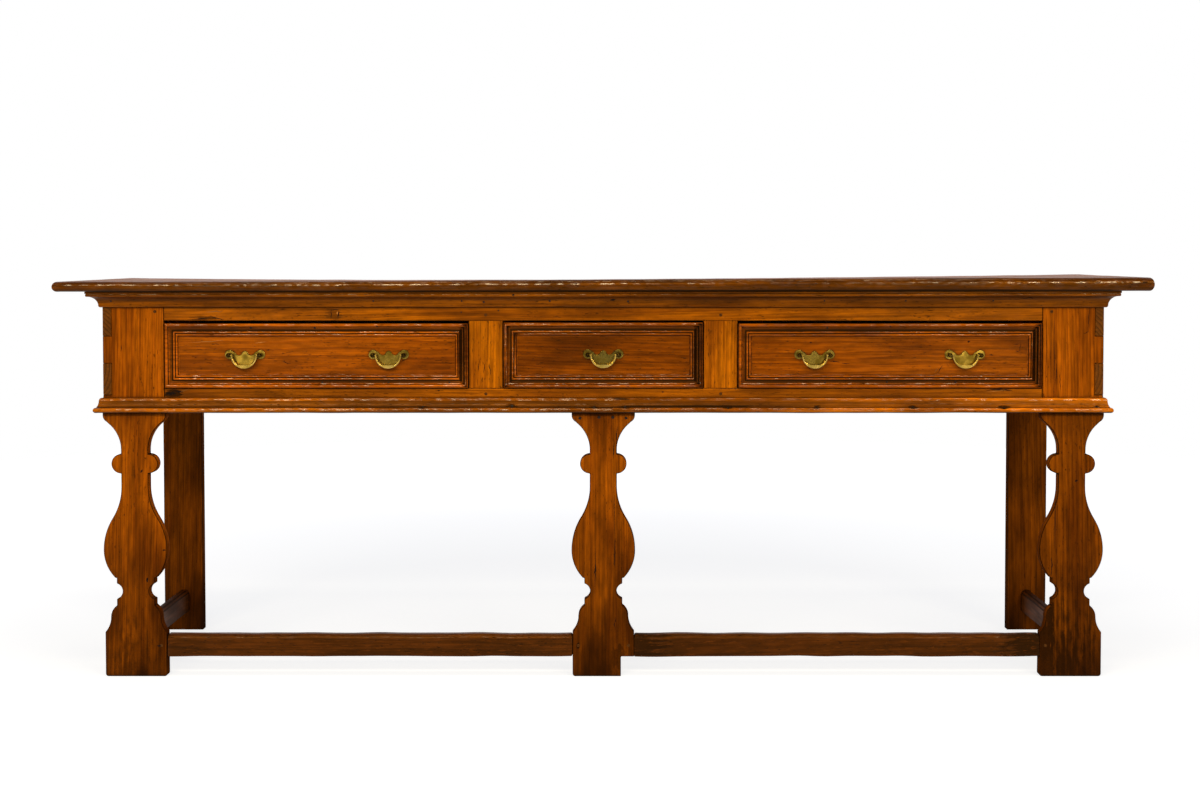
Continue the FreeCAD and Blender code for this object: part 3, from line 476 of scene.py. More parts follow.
def rusted_iron(name, iron, rust, shine):
    """Wrought nails under wax: black iron with brown rust in the hollows of the hammered heads."""
    material, tree, shader = new_material(name)
    place = add(tree, "TexCoord").outputs["Object"]
    grit = add(tree, "TexNoise", {"Vector": place, "Scale": 1 / (2 * MM), "Detail": 3.0})
    share = add(tree, "MapRange", (grit, 0.4, 0.7))
    metal = add(tree, "Mix", {0: share, 6: opaque(iron), 7: opaque(rust)}, data_type="RGBA")
    bump = add(tree, "Bump", {"Strength": 0.6, "Distance": 0.4 * MM, "Height": grit})
    inputs = {"Base Color": metal, "Normal": bump, "Roughness": 0.42, "Specular IOR Level": shine}
    wire(tree, shader, inputs)
    return material


# Stains and scars too soft-edged to model: middle, reach along each axis (both in mm), strength and blur.
CRISP = 0.2
SOFT = 0.7
CASE_MARKS = [
    ((-905, -215, 600), (19, 30, 8), 0.9, CRISP),
    ((-565, -215, 766), (16, 20, 12), 0.5, CRISP),
    ((-834, -215, 757), (38, 30, 3.5), 0.7, CRISP),
    ((36, -230, 588), (22, 20, 3), 0.8, CRISP),
    ((830, -215, 607), (30, 20, 2.5), 0.75, CRISP),
]
LEG_MARKS = [
    ((944, -205, 178), (12, 60, 20), 0.9, CRISP),
    ((934, -205, 130), (22, 60, 48), 0.92, CRISP),
    ((926, -205, 80), (30, 60, 50), 0.9, CRISP),
    ((928, -205, 20), (36, 60, 50), 0.85, CRISP),
    ((30, -205, 40), (28, 60, 30), 0.75, CRISP),
    ((40, -205, 88), (20, 60, 22), 0.5, CRISP),
    ((-54, -215, 65), (5, 20, 6), 0.95, CRISP),
    # These last two darken the feet towards the floor.
    ((-990, -205, 20), (95, 60, 120), 0.72, SOFT),
    ((985, -205, 30), (95, 60, 150), 0.86, SOFT),
]
STRETCHER_MARKS = [
    ((80, -200, 70), (55, 60, 40), 0.7, CRISP),
    ((900, -200, 66), (60, 60, 40), 0.8, CRISP),
]


def finishes():
    """How each finish is made, by the name used here."""
    brass = bpy.context.scene.dresser_brass
    grime = bpy.context.scene.dresser_wood.grime
    nails = NAILS["base_moulding_front_left"] + NAILS["base_moulding_front_right"]
    bruises = [((x, -235, z), (3 * radius, 40, radius), 0.9, CRISP) for x, z, radius in nails]
    leg = {"kind": "leg", "foot_dark": 0.77, "edge": -0.9, "coat": 0.0}
    return {
        # Waxed for generations: orange-brown, with glints on the beads and bruises round the nails.
        "case": lambda: pine("Aged waxed pine", "case", CASE_MARKS + bruises),
        # Scrubbed and dry, so the upper face of the top is dull.
        "top": lambda: pine("Dry dark pine", "case", polish=0.42, coat=0.0),
        # Redder boards, picked for the drawer fronts.
        "drawer": lambda: pine("Aged red pine", "drawer"),
        # Younger wood, let in later: paler and yellower.
        "muntin": lambda: pine("Aged honey pine", "muntin"),
        # Brown above and near black towards the feet; the worn arrises are darkened too, partly soiling and
        # partly a painted dark reflection.
        "leg": lambda: pine(
            "Aged pine darkened at the feet", marks=LEG_MARKS, polish=0.36, flecked=0.34, shine=0.15, **leg
        ),
        # Cut by the saw and never waxed, so the sides of the legs do not shine.
        "sawn": lambda: pine("Dry sawn pine", polish=0.75, shine=0.02, **leg),
        # Kicked by shoes: dark, with paler scuffs.
        "stretcher": lambda: pine(
            "Scuffed dark pine", "stretcher", STRETCHER_MARKS, polish=0.36, coat=0.01, scuff=0.75
        ),
        # Bare wood inside the case: pale and matt.
        "lining": lambda: pine("Unpolished pine", "lining", polish=0.6),
        # Split, not sawn: darker than the boards it holds.
        "peg": lambda: pine("Cleft oak", "peg"),
        # Fresh breaks that show the pale wood under the wax.
        "bare": lambda: pine("Bared pine", "bare"),
        # Plates: yellow where they are rubbed, with olive clouds.
        "brass": lambda: aged_brass("Aged cast brass", brass.bright, brass.dull, brass.tarnish),
        # Bails: bright, because hands take hold of them.
        "grip": lambda: aged_brass("Hand-polished cast brass", brass.grip, brass.bright, brass.tarnish),
        # Posts: brown, since nothing rubs them.
        "post": lambda: aged_brass("Tarnished cast brass", brass.post, brass.tarnish, brass.tarnish),
        # Nail heads: black with a little rust.
        "iron": lambda: rusted_iron("Rusted wrought iron", brass.iron, brass.rust, shine=0.2),
        # Cracks and holes, black and matt: partly soiling packed in, partly painted shade inside them.
        "scar": lambda: rusted_iron("Dirt and painted shade in old scars", grime, brass.dust, shine=0.08),
    }


MADE_FINISHES = {}


def finish(name):
    """A finish, made when it is first asked for."""
    if name not in MADE_FINISHES:
        MADE_FINISHES[name] = finishes()[name]()
    return MADE_FINISHES[name]


def finished(name, bm, finish_name, body, replaced=(), sharp=25, flat_over=1.0):
    """A mesh made into a piece of the object that rides on a body, its faces over a size kept flat."""
    mesh = bpy.data.meshes.new(name)
    bm.to_mesh(mesh)
    bm.free()
    for polygon in mesh.polygons:
        polygon.use_smooth = polygon.area < flat_over
    mesh.set_sharp_from_angle(angle=math.radians(sharp))
    mesh.materials.append(finish(finish_name))
    piece = bpy.data.objects.new(name, mesh)
    bpy.context.scene.collection.objects.link(piece)
    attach(piece, body)
    if replaced:
        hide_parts(*replaced)
    return piece


def node_copy(node):
    """The merged mesh of a CAD node, with its flat faces in one piece."""
    bm = bmesh.new()
    bm.from_mesh(frame["nodes"][node].data)
    bmesh.ops.remove_doubles(bm, verts=bm.verts[:], dist=0.01 * MM)
    bmesh.ops.dissolve_limit(bm, angle_limit=math.radians(1), verts=bm.verts[:], edges=bm.edges[:])
    return bm


def islands(bm):
    """The separate boards in a mesh, as lists of vertices."""
    bm.verts.index_update()
    seen = set()
    found = []
    for start in bm.verts:
        if start.index in seen:
            continue
        seen.add(start.index)
        island = [start]
        for vert in island:
            for edge in vert.link_edges:
                other = edge.other_vert(vert)
                if other.index not in seen:
                    seen.add(other.index)
                    island.append(other)
        found.append(island)
    return found


def span(verts, axis):
    """Lowest and highest place of some vertices along an axis."""
    places = [vert.co[axis] for vert in verts]
    return min(places), max(places)


def hole_places():
    """Where pegs and handle posts go through the wood, as X and Z."""
    bm = node_copy("joint_pegs")
    places = [(sum(span(island, X)) / 2, sum(span(island, Z)) / 2) for island in islands(bm)]
    bm.free()
    for pivot in PIVOT_OF.values():
        places += [(pivot.x + POST_PLACE, pivot.z), (pivot.x - POST_PLACE, pivot.z)]
    return places


HOLES = hole_places()


def lay_grain(bm, node, tones, figure=0.5, drift=0.0):
    """Marks each board's places along, across and through its grain, its end grain and its drifting tone."""
    board_layer = bm.verts.layers.float_vector.new("board")
    tone_layer = bm.verts.layers.float.new("tone")
    figure_layer = bm.verts.layers.float.new("figure")
    end_layer = bm.faces.layers.float.new("end")
    bm.normal_update()
    for number, island in enumerate(islands(bm)):
        chance = random.Random(f"{node} {number}")
        spans = [span(island, axis) for axis in range(3)]
        order = sorted(range(3), key=lambda axis: spans[axis][0] - spans[axis][1])
        middle = [sum(spans[axis]) / 2 for axis in order]
        slide = chance.uniform(-8, 8)
        pith = (chance.uniform(-0.09, 0.09), chance.uniform(0.03, 0.1))
        lean = chance.uniform(-0.03, 0.03)
        tone = chance.uniform(*tones)
        for vert in island:
            along, across, through = (vert.co[axis] - middle[i] for i, axis in enumerate(order))
            vert[board_layer] = Vector((along + slide, across + pith[0] + lean * along, through + pith[1]))
            half_length = middle[0] - spans[order[0]][0]
            vert[tone_layer] = tone * (1 + drift * along / half_length)
            vert[figure_layer] = figure
            for face in vert.link_faces:
                face[end_layer] = 1.0 if abs(face.normal[order[0]]) > 0.8 else 0.0


def lay_crests(bm):
    """Marks how sharply a moulding's profile turns: up to 1 on its beads, down to -1 in its quirks."""
    layer = bm.verts.layers.float.new("crest")
    for vert in bm.verts:
        runs = [edge for edge in vert.link_edges if edge.calc_length() > 8 * MM]
        steps = [edge.calc_length() for edge in vert.link_edges if edge not in runs]
        if runs and steps:
            turn = sum(edge.calc_face_angle_signed(0) for edge in runs) / len(runs)
            bend = turn * len(steps) / sum(steps)
            vert[layer] = max(-1, min(1, bend * 3 * MM))
    # Beside a deep quirk the next vertices count as deep too, so that its darkening, partly soiling and
    # partly painted shade, is wider.
    for vert in [vert for vert in bm.verts if vert[layer] < QUIRK_LEVEL]:
        for edge in vert.link_edges:
            if edge.calc_length() < 1.2 * MM:
                beside = edge.other_vert(vert)
                beside[layer] = min(beside[layer], QUIRK_LEVEL - 0.01)


def sliced(bm, axis, step, low=None, high=None):
    """Cuts a mesh across an axis at even steps, so that it can bend."""
    start, stop = span(bm.verts, axis)
    start = start if low is None else low
    stop = stop if high is None else high
    normal = Vector((0, 0, 0))
    normal[axis] = 1
    count = max(1, round((stop - start) / step))
    for number in range(1, count):
        at = normal * (start + (stop - start) * number / count)
        geometry = bm.verts[:] + bm.edges[:] + bm.faces[:]
        bmesh.ops.bisect_plane(bm, geom=geometry, plane_co=at, plane_no=normal, dist=0.02 * MM)


def uneven(bm, amount, wavelength, seed):
    """Shifts vertices by smooth noise, the same on every run, as hand planing and wear leave a board."""
    noise.seed_set(seed)
    shift = Vector((seed, seed * 2.3, seed * 4.1))
    for vert in bm.verts:
        vert.co += noise.noise_vector(vert.co / wavelength + shift) * amount


def settle(bm):
    """Lets what is above the foot of the cornice follow the tilted, warped top."""
    wood = bpy.context.scene.dresser_wood
    for vert in bm.verts:
        low = min(1, max(0, (vert.co.z - CORNICE_FOOT) / (TOP_UNDERSIDE - CORNICE_FOOT)))
        high = max(0, (vert.co.z - TOP_UNDERSIDE) / (CAD_BOX[1].z - TOP_UNDERSIDE))
        outward = vert.co.x / CAD_BOX[1].x
        backward = (vert.co.y - CAD_BOX[0].y) / (CAD_BOX[1].y - CAD_BOX[0].y)
        swing = math.sin(outward * math.pi / 2)
        under = wood.under_rise + wood.under_tilt * swing
        upper = wood.top_tilt * (1 + swing)
        warp = backward * (wood.top_twist * outward**2 - wood.top_bow)
        vert.co.z += low * (under + warp) + high * (upper - under)


def drilled(edge):
    """Whether an edge is on the rim of a hole for a peg or a post, which stays crisp."""
    middle = (edge.verts[0].co + edge.verts[1].co) / 2
    return any(math.hypot(middle.x - x, middle.z - z) < HOLE_RIM for x, z in HOLES)


def worn_copy(node, wear, sharp=50, segments=1):
    """A CAD node's mesh with its sharp arrises worn off."""
    bm = node_copy(node)
    worn_layer = bm.faces.layers.float.new("worn")
    if wear:
        edges = [edge for edge in bm.edges if edge.calc_face_angle(0) > math.radians(sharp)]
        edges = [edge for edge in edges if not drilled(edge)]
        made = bmesh.ops.bevel(
            bm,
            geom=edges,
            offset=wear,
            offset_type="OFFSET",
            segments=segments,
            profile=0.5,
            affect="EDGES",
            clamp_overlap=False,
            material=-1,
        )
        for face in made["faces"]:
            face[worn_layer] = 1.0
    return bm


def board(
    node,
    finish_name,
    tones=(0.95, 1.05),
    wear=EDGE_WEAR,
    slices=0.0,
    uneven_by=0.0,
    sharp=50,
    segments=1,
    drift=0.0,
    moulded=False,
    reshape=None,
):
    """A CAD board with worn arrises and a surface that is not quite flat, in place of its node."""
    bm = worn_copy(node, wear, sharp, segments)
    if slices:
        axis = max(range(3), key=lambda a: span(bm.verts, a)[1] - span(bm.verts, a)[0])
        sliced(bm, axis, slices)
    if moulded:
        lay_crests(bm)
    if reshape:
        reshape(bm)
    lay_grain(bm, node, tones, drift=drift)
    if uneven_by:
        uneven(bm, uneven_by, PLANE_STROKE, len(node))
    if BODY_OF[node] == "case":
        settle(bm)
    return finished(f"{node}_worn", bm, finish_name, BODY_OF[node], [node])


class DRESSER_OT_top(bpy.types.Operator):
    """Make the two planks of the top"""

    bl_idname = "dresser.top"
    bl_label = "Top"

    def nosing(self, bm):
        """Wears the edge of the top to a full round, with a painted shadow below it along the cornice."""
        joint_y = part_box("top_front_board")[1].y
        beside_joint = 6 * MM
        depth = 9 * MM
        sliced(bm, Z, 1.75 * MM, TOP_UNDERSIDE + 6.5 * MM, TOP_UNDERSIDE + 13.5 * MM)
        sliced(bm, Y, 3 * MM, joint_y - beside_joint, joint_y + beside_joint)
        crest_layer = bm.verts.layers.float["crest"]
        middle = (TOP_UNDERSIDE + CAD_BOX[1].z) / 2
        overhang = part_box("cornice_front")[1].x
        for vert in bm.verts:
            if abs(vert.co.y - joint_y) < 1 * MM:
                vert[crest_layer] = -0.4
            up = max(-1, min(1, (vert.co.z - middle) / (CAD_BOX[1].z - middle)))
            back = depth * (1 - math.sqrt(1 - up * up))
            if vert.co.y < CAD_BOX[0].y + depth:
                vert.co.y = CAD_BOX[0].y + back
                # The round is lightened, partly wear and partly a painted highlight, and waxed.
                vert[crest_layer] = 0.3 * (1 - up * up)
                # Painted shadow under the round, where the top overhangs the cornice.
                if up < -0.75 and abs(vert.co.x) < overhang:
                    vert[crest_layer] = -0.36
            if abs(vert.co.x) > CAD_BOX[1].x - depth:
                vert.co.x = math.copysign(CAD_BOX[1].x - back, vert.co.x)

    def execute(self, context):
        upper_tone = 0.42
        for node in ("top_front_board", "top_back_board"):
            piece = board(
                node,
                "case",
                tones=(0.22, 0.23),
                wear=0.6 * MM,
                slices=SLICE,
                uneven_by=0.6 * MM,
                moulded=True,
                reshape=self.nosing,
            )
            piece.data.materials.append(finish("top"))
            tone = piece.data.attributes["tone"].data
            for polygon in piece.data.polygons:
                if polygon.normal.z > 0.98:
                    polygon.material_index = 1
                    for index in polygon.vertices:
                        tone[index].value = upper_tone
        return {"FINISHED"}


class DRESSER_OT_mouldings(bpy.types.Operator):
    """Make the cornice and the base moulding"""

    bl_idname = "dresser.mouldings"
    bl_label = "Cornice and base moulding"

    def dull(self, bm):
        """Less rubbing and painted highlight on the beads of the cornice, under the top, and neither soiling
        nor painted shade in its wide cove.
        """
        crest_layer = bm.verts.layers.float["crest"]
        for vert in bm.verts:
            if vert[crest_layer] > QUIRK_LEVEL:
                vert[crest_layer] = max(-0.04, min(0.14, vert[crest_layer]))

    def shaded_lip(self, bm):
        """Painted shade along the lowest edge of the base moulding."""
        crest_layer = bm.verts.layers.float["crest"]
        foot = span(bm.verts, Z)[0]
        for vert in bm.verts:
            if vert.co.z < foot + 2 * MM:
                vert[crest_layer] = -0.35

    def execute(self, context):
        moulding = {"finish_name": "case", "wear": 0.0, "slices": SLICE, "moulded": True}
        cornice = {"tones": (0.54, 0.56), "uneven_by": 0.4 * MM, "drift": -0.2, "reshape": self.dull}
        for side in ("front", *SIDES):
            board(f"cornice_{side}", **moulding, **cornice)
        # Each run's tone, and how far it drifts along the run: the right half of the front is paler.
        runs = {"front_left": (0.56, -0.3), "front_right": (0.88, 0.5)}
        runs |= {side: (0.56, 0.0) for side in SIDES}
        for side, (tone, drift) in runs.items():
            base = {"tones": (tone, tone), "uneven_by": 0.6 * MM, "drift": drift, "reshape": self.shaded_lip}
            board(f"base_moulding_{side}", **moulding, **base)
        return {"FINISHED"}


class DRESSER_OT_front_frame(bpy.types.Operator):
    """Make the rails, the uprights between the drawers and the pegs"""

    bl_idname = "dresser.front_frame"
    bl_label = "Front frame"

    def eased(self, bm):
        """Lowers the bottom rail a little, so that its uneven top stays clear of the drawers."""
        top = span(bm.verts, Z)[1]
        for vert in bm.verts:
            if vert.co.z > top - 1 * MM:
                vert.co.z -= 0.4 * MM

    def execute(self, context):
        rail = {"finish_name": "case", "slices": LONG_SLICE, "uneven_by": 0.3 * MM}
        board("top_rail", tones=(0.94, 0.96), drift=-0.08, **rail)
        board("bottom_rail", tones=(0.98, 1.0), drift=0.1, reshape=self.eased, **rail)
        for side in SIDES:
            board(f"muntin_{side}", "muntin", tones=(0.88, 0.92))
        board("joint_pegs", "peg", tones=(0.8, 1.0), wear=0.4 * MM)
        return {"FINISHED"}


class DRESSER_OT_legs(bpy.types.Operator):
    """Make the silhouette legs in front and the plain legs behind"""

    bl_idname = "dresser.legs"
    bl_label = "Legs"

    def gnawed(self, bm):
        """Bites taken out of the inner edge of the right foot, down to its stretcher."""
        inner_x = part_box("front_leg_right")[0].x
        stretcher_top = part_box("front_stretcher_right")[1].z
        ring_foot = 190 * MM
        fade = 12 * MM
        deepest = 4 * MM
        sliced(bm, Z, 4 * MM, stretcher_top, ring_foot)
        for vert in bm.verts:
            above = (vert.co.z - stretcher_top) / fade
            below = (ring_foot - vert.co.z) / fade
            edge = 1 - (vert.co.x - inner_x) / (34 * MM)
            share = max(0, min(1, above, below, edge))
            wide = abs(noise.noise(vert.co / (11 * MM)))
            fine = abs(noise.noise(vert.co / (4 * MM)))
            vert.co.x += deepest * (wide + fine * 0.5) * share

    def dull_sides(self, piece):
        """Leaves the sawn sides of a leg dry, so that they do not mirror the studio."""
        piece.data.materials.append(finish("sawn"))
        for polygon in piece.data.polygons:
            if abs(polygon.normal.y) < 0.6:
                polygon.material_index = 1

    def execute(self, context):
        # Each leg's tone, and how much lighter it is beside the drawers.
        tones = {"left": (1.18, 1.12), "centre": (1.03, 1.0), "right": (0.79, 1.8)}
        moulding_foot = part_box("base_moulding_front_left")[0].z
        behind_moulding = 12 * MM
        # Faces under 4 square centimetres belong to the sawn curves, and are shaded as round.
        curve_face = 4e-4
        for side, (tone, lighter) in tones.items():
            node = f"front_leg_{side}"
            bm = worn_copy(node, 1.4 * MM, segments=2)
            sliced(bm, Z, 4 * MM, moulding_foot, moulding_foot + behind_moulding)
            if side == "right":
                self.gnawed(bm)
            lay_grain(bm, node, (tone, tone), figure=0.6)
            tone_layer = bm.verts.layers.float["tone"]
            for vert in bm.verts:
                if vert.co.z > moulding_foot + behind_moulding / 2:
                    vert[tone_layer] = tone * lighter
            settle(bm)
            piece = finished(
                f"{node}_worn",
                bm,
                "leg",
                BODY_OF[node],
                [node],
                sharp=50,
                flat_over=curve_face,
            )
            self.dull_sides(piece)
        for side, tone in (("left", 0.72), ("right", 0.78)):
            piece = board(f"rear_leg_{side}", "leg", tones=(tone, tone), wear=1.5 * MM)
            self.dull_sides(piece)
        return {"FINISHED"}


class DRESSER_OT_stretchers(bpy.types.Operator):
    """Make the worn stretchers between the legs"""

    bl_idname = "dresser.stretchers"
    bl_label = "Stretchers"

    def execute(self, context):
        kicked = {"wear": 3 * MM, "slices": FINE_SLICE, "uneven_by": 1.8 * MM, "sharp": 35, "segments": 2}
        plain = {"wear": 2 * MM, "slices": SLICE, "uneven_by": 0.8 * MM, "sharp": 35, "segments": 2}
        for side in SIDES:
            board(f"front_stretcher_{side}", "stretcher", tones=(0.66, 0.72), **kicked)
            board(f"side_stretcher_{side}", "leg", tones=(0.56, 0.6), **plain)
        return {"FINISHED"}


class DRESSER_OT_case(bpy.types.Operator):
    """Make the sides, the back and the bearers of the drawers"""

    bl_idname = "dresser.case"
    bl_label = "Case boards"

    def execute(self, context):
        for side in SIDES:
            board(f"side_board_{side}", "case", tones=(0.85, 0.9))
        for node in ("back_board", "centre_leg_block"):
            board(node, "lining", tones=(0.5, 0.6))
        for kind in ("runners", "bearers", "guides", "kickers"):
            board(f"drawer_{kind}", "lining", tones=(0.6, 0.75))
        return {"FINISHED"}


class DRESSER_OT_drawers(bpy.types.Operator):
    """Make the drawer fronts with their mouldings, and the linings"""

    bl_idname = "dresser.drawers"
    bl_label = "Drawers"

    def execute(self, context):
        tones = {"left": (1.14, 1.16), "centre": (0.74, 0.76), "right": (0.94, 0.96)}
        for name in DRAWERS:
            board(f"drawer_{name}_front", "drawer", tones=tones[name], wear=0.5 * MM)
            moulding = {"wear": 0.0, "slices": FINE_SLICE, "uneven_by": 0.35 * MM, "moulded": True}
            darker = [0.86 * tone for tone in tones[name]]
            board(f"drawer_{name}_moulding", "drawer", tones=darker, **moulding)
            for part in ("side_left", "side_right", "back", "bottom"):
                board(f"drawer_{name}_{part}", "lining", tones=(0.9, 1.05), wear=0.6 * MM)
        return {"FINISHED"}


def join(bm, one, place):
    """Moves a mesh to its place and joins it to another."""
    bmesh.ops.translate(one, verts=one.verts[:], vec=place)
    mesh = bpy.data.meshes.new("joined")
    one.to_mesh(mesh)
    one.free()
    bm.from_mesh(mesh)
    bpy.data.meshes.remove(mesh)


def turned(bm, profile, sides):
    """Spins a profile of (Y, radius) points about the Y axis into a closed form."""
    verts = [bm.verts.new((radius, y, 0)) for y, radius in profile]
    edges = [bm.edges.new(pair) for pair in zip(verts, verts[1:])]
    bmesh.ops.spin(
        bm,
        geom=verts + edges,
        cent=(0, 0, 0),
        axis=(0, 1, 0),
        angle=math.tau,
        steps=sides,
        use_merge=True,
    )
    bmesh.ops.remove_doubles(bm, verts=bm.verts[:], dist=0.002 * MM)
    bmesh.ops.recalc_face_normals(bm, faces=bm.faces[:])


class DRESSER_OT_handles(bpy.types.Operator):
    """Make the brass plates, posts and bails"""

    bl_idname = "dresser.handles"
    bl_label = "Handles"

    def swept(self, bm, vert, centre, angle, steps):
        """Draws an arc on from a vertex about a centre, and gives its far end."""
        made = bmesh.ops.spin(
            bm,
            geom=[vert],
            cent=(centre[0] * MM, 0, centre[1] * MM),
            axis=(0, -1, 0),
            angle=math.radians(angle),
            steps=steps,
        )
        return made["geom_last"][0]

    def plate(self):
        """A back plate about its pivots: half disc, lobes, hollows beside a peak, and a bevelled rim."""
        brass = bpy.context.scene.dresser_brass
        bm = bmesh.new()
        at = bm.verts.new((0, 0, -26 * MM))
        at = self.swept(bm, at, (0, 0), 78.5, 12)
        at = self.swept(bm, at, (32.5, 1.5), 276.4, 24)
        hook = bm.verts.new((20 * MM, 0, 4.9 * MM))
        bm.edges.new((at, hook))
        at = self.swept(bm, hook, (12.9, 7.0), -157.0, 10)
        shoulder = bm.verts.new((2.7 * MM, 0, 7.75 * MM))
        bm.edges.new((at, shoulder))
        at = self.swept(bm, shoulder, (0, 5.5), 50.5, 4)
        at.co.x = 0
        half = bm.verts[:] + bm.edges[:]
        merge = 0.05 * MM
        bmesh.ops.mirror(bm, geom=half, matrix=Matrix.Identity(4), merge_dist=merge, axis="X")
        bmesh.ops.remove_doubles(bm, verts=bm.verts[:], dist=merge)
        face = bmesh.ops.contextual_create(bm, geom=bm.edges[:])["faces"][0]
        face.normal_update()
        if face.normal.y > 0:
            face.normal_flip()
        made = bmesh.ops.extrude_face_region(bm, geom=[face], use_keep_orig=True)
        front = next(item for item in made["geom"] if isinstance(item, bmesh.types.BMFace))
        bmesh.ops.translate(bm, verts=front.verts[:], vec=(0, -1.6 * MM, 0))
        bmesh.ops.recalc_face_normals(bm, faces=bm.faces[:])
        bmesh.ops.inset_region(bm, faces=[front], thickness=brass.plate_rim, depth=0.0)
        rim = {vert for vert in bm.verts if vert.co.y < -1 * MM} - set(front.verts)
        bmesh.ops.translate(bm, verts=list(rim), vec=(0, 0.7 * MM, 0))
        return bm

    def plates(self, node, places):
        """All the plates of a drawer."""
        bm = bmesh.new()
        back_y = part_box(node)[1].y
        for place in places:
            join(bm, self.plate(), (place.x, back_y, place.z))
        finished(f"{node}_cast", bm, "brass", BODY_OF[node], [node])

    def posts(self, node, places):
        """Ball-headed posts turned over the plates, with their shanks and nuts behind."""
        brass = bpy.context.scene.dresser_brass
        head = brass.post_head
        bm = node_copy(node)
        plate_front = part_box(node.replace("posts", "plates"))[0].y
        old_heads = [vert for vert in bm.verts if vert.co.y < plate_front - 0.1 * MM]
        bmesh.ops.delete(bm, geom=old_heads, context="VERTS")
        bmesh.ops.holes_fill(bm, edges=[edge for edge in bm.edges if edge.is_boundary], sides=0)
        for place in places:
            middle = place.y - plate_front
            profile = [(0.0, head * 0.62), (middle * 0.35, head * 0.5)]
            for turn in range(-40, 91, 13):
                angle = math.radians(turn)
                profile.append((middle - head * math.sin(angle), head * math.cos(angle)))
            profile[-1] = (profile[-1][0], 0.0)
            for sign in (-1, 1):
                one = bmesh.new()
                turned(one, [(0.0, 0.0), *profile], 20)
                join(bm, one, (place.x + POST_PLACE * sign, plate_front, place.z))
        finished(f"{node}_turned", bm, "post", BODY_OF[node], [node])

    def bail(self, node):
        """A half ring of rod that swells to a flat-topped grip, with a pivot at each end."""
        brass = bpy.context.scene.dresser_brass
        bm = bmesh.new()
        past_end = math.radians(5)
        start = Matrix.Rotation(past_end, 4, "Y") @ Matrix.Translation((-brass.bail_radius, 0, 0))
        circle = bmesh.ops.create_circle(bm, segments=16, radius=brass.bail_end, matrix=start)
        bmesh.ops.spin(
            bm,
            geom=circle["verts"] + bm.edges[:],
            cent=(0, 0, 0),
            axis=(0, -1, 0),
            angle=math.pi + 2 * past_end,
            steps=36,
        )
        for vert in bm.verts:
            outward = Vector((vert.co.x, 0, vert.co.z)).normalized()
            centre = outward * brass.bail_radius
            low = max(0.0, -outward.z)
            swell = 1 + (brass.bail_middle / brass.bail_end - 1) * low**2
            vert.co = centre + (vert.co - centre) * swell
            reach = Vector((vert.co.x, 0, vert.co.z)).length
            if reach < brass.bail_radius and low > 0:
                inner = min(1.0, brass.bail_flat / (low * reach))
                vert.co.x *= inner
                vert.co.z *= inner
        bmesh.ops.holes_fill(bm, edges=[edge for edge in bm.edges if edge.is_boundary], sides=0)
        bmesh.ops.recalc_face_normals(bm, faces=bm.faces[:])
        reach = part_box(node)[1].x - PIVOT_OF[node].x - brass.bail_radius
        for sign in (-1, 1):
            outward = Matrix.Translation((sign * (brass.bail_radius + reach / 2), 0, 0))
            bmesh.ops.create_cone(
                bm,
                cap_ends=True,
                segments=16,
                radius1=brass.pivot_radius,
                radius2=brass.pivot_radius,
                depth=reach,
                matrix=outward @ Matrix.Rotation(math.pi / 2, 4, "Y"),
            )
        bmesh.ops.translate(bm, verts=bm.verts[:], vec=PIVOT_OF[node])
        finished(f"{node}_cast", bm, "grip", node, [node])

    def execute(self, context):
        for name in DRAWERS:
            places = [PIVOT_OF[bail] for bail in BAILS if bail.startswith(f"drawer_{name}_")]
            self.plates(f"drawer_{name}_handle_plates", places)
            self.posts(f"drawer_{name}_handle_posts", places)
        for node in BAILS:
            self.bail(node)
        return {"FINISHED"}


def surface_of(node):
    """A tree that finds the surface of a CAD node."""
    bm = bmesh.new()
    bm.from_mesh(frame["nodes"][node].data)
    found = BVHTree.FromBMesh(bm)
    bm.free()
    return found


def against(surface, x, z):
    """Where a line from the front at X and Z meets a surface, with its local Y turned inwards there."""
    place, normal, _, _ = surface.ray_cast(Vector((x * MM, -1, z * MM)), BACKWARD)
    if place is None:
        raise ValueError(f"nothing in front at {x}, {z}")
    return Matrix.Translation(place) @ (-normal).to_track_quat("Y", "Z").to_matrix().to_4x4()


# Nail heads on the front, in mm: X, Z and radius.
NAILS = {
    "front_leg_centre": [(-49, 547, 4), (-9, 549, 4.4), (20, 549, 4.6), (48, 547, 4)],
    "base_moulding_front_left": [(-378, 572, 3.2), (-191, 573, 4), (-19, 571, 3.4)],
    "base_moulding_front_right": [
        (46, 572, 4), (262, 570, 4), (447, 571, 3), (649, 571, 3.2), (839, 570, 5), (1034, 572, 3),
    ],
    "cornice_front": [
        (-1030, 793, 2.6), (-481, 793, 2.6), (-296, 793, 2.4), (-250, 791, 3), (-187, 805, 2.6),
        (-112, 793, 3), (52, 792, 3), (463, 793, 2.6), (633, 793, 2.6), (816, 793, 2.4),
    ],
    "top_rail": [(-298, 770, 2.2), (-220, 773, 2)],
    "drawer_left_moulding": [
        (-739, 737, 3), (-605, 737, 3), (-474, 740, 2.4), (-747, 622, 3), (-590, 622, 3),
        (-451, 622, 2.6), (-323, 622, 2.6),
    ],
    "drawer_right_moulding": [
        (470, 737, 2.6), (602, 739, 3), (466, 622, 2.6), (596, 623, 3), (740, 623, 3.4),
    ],
}
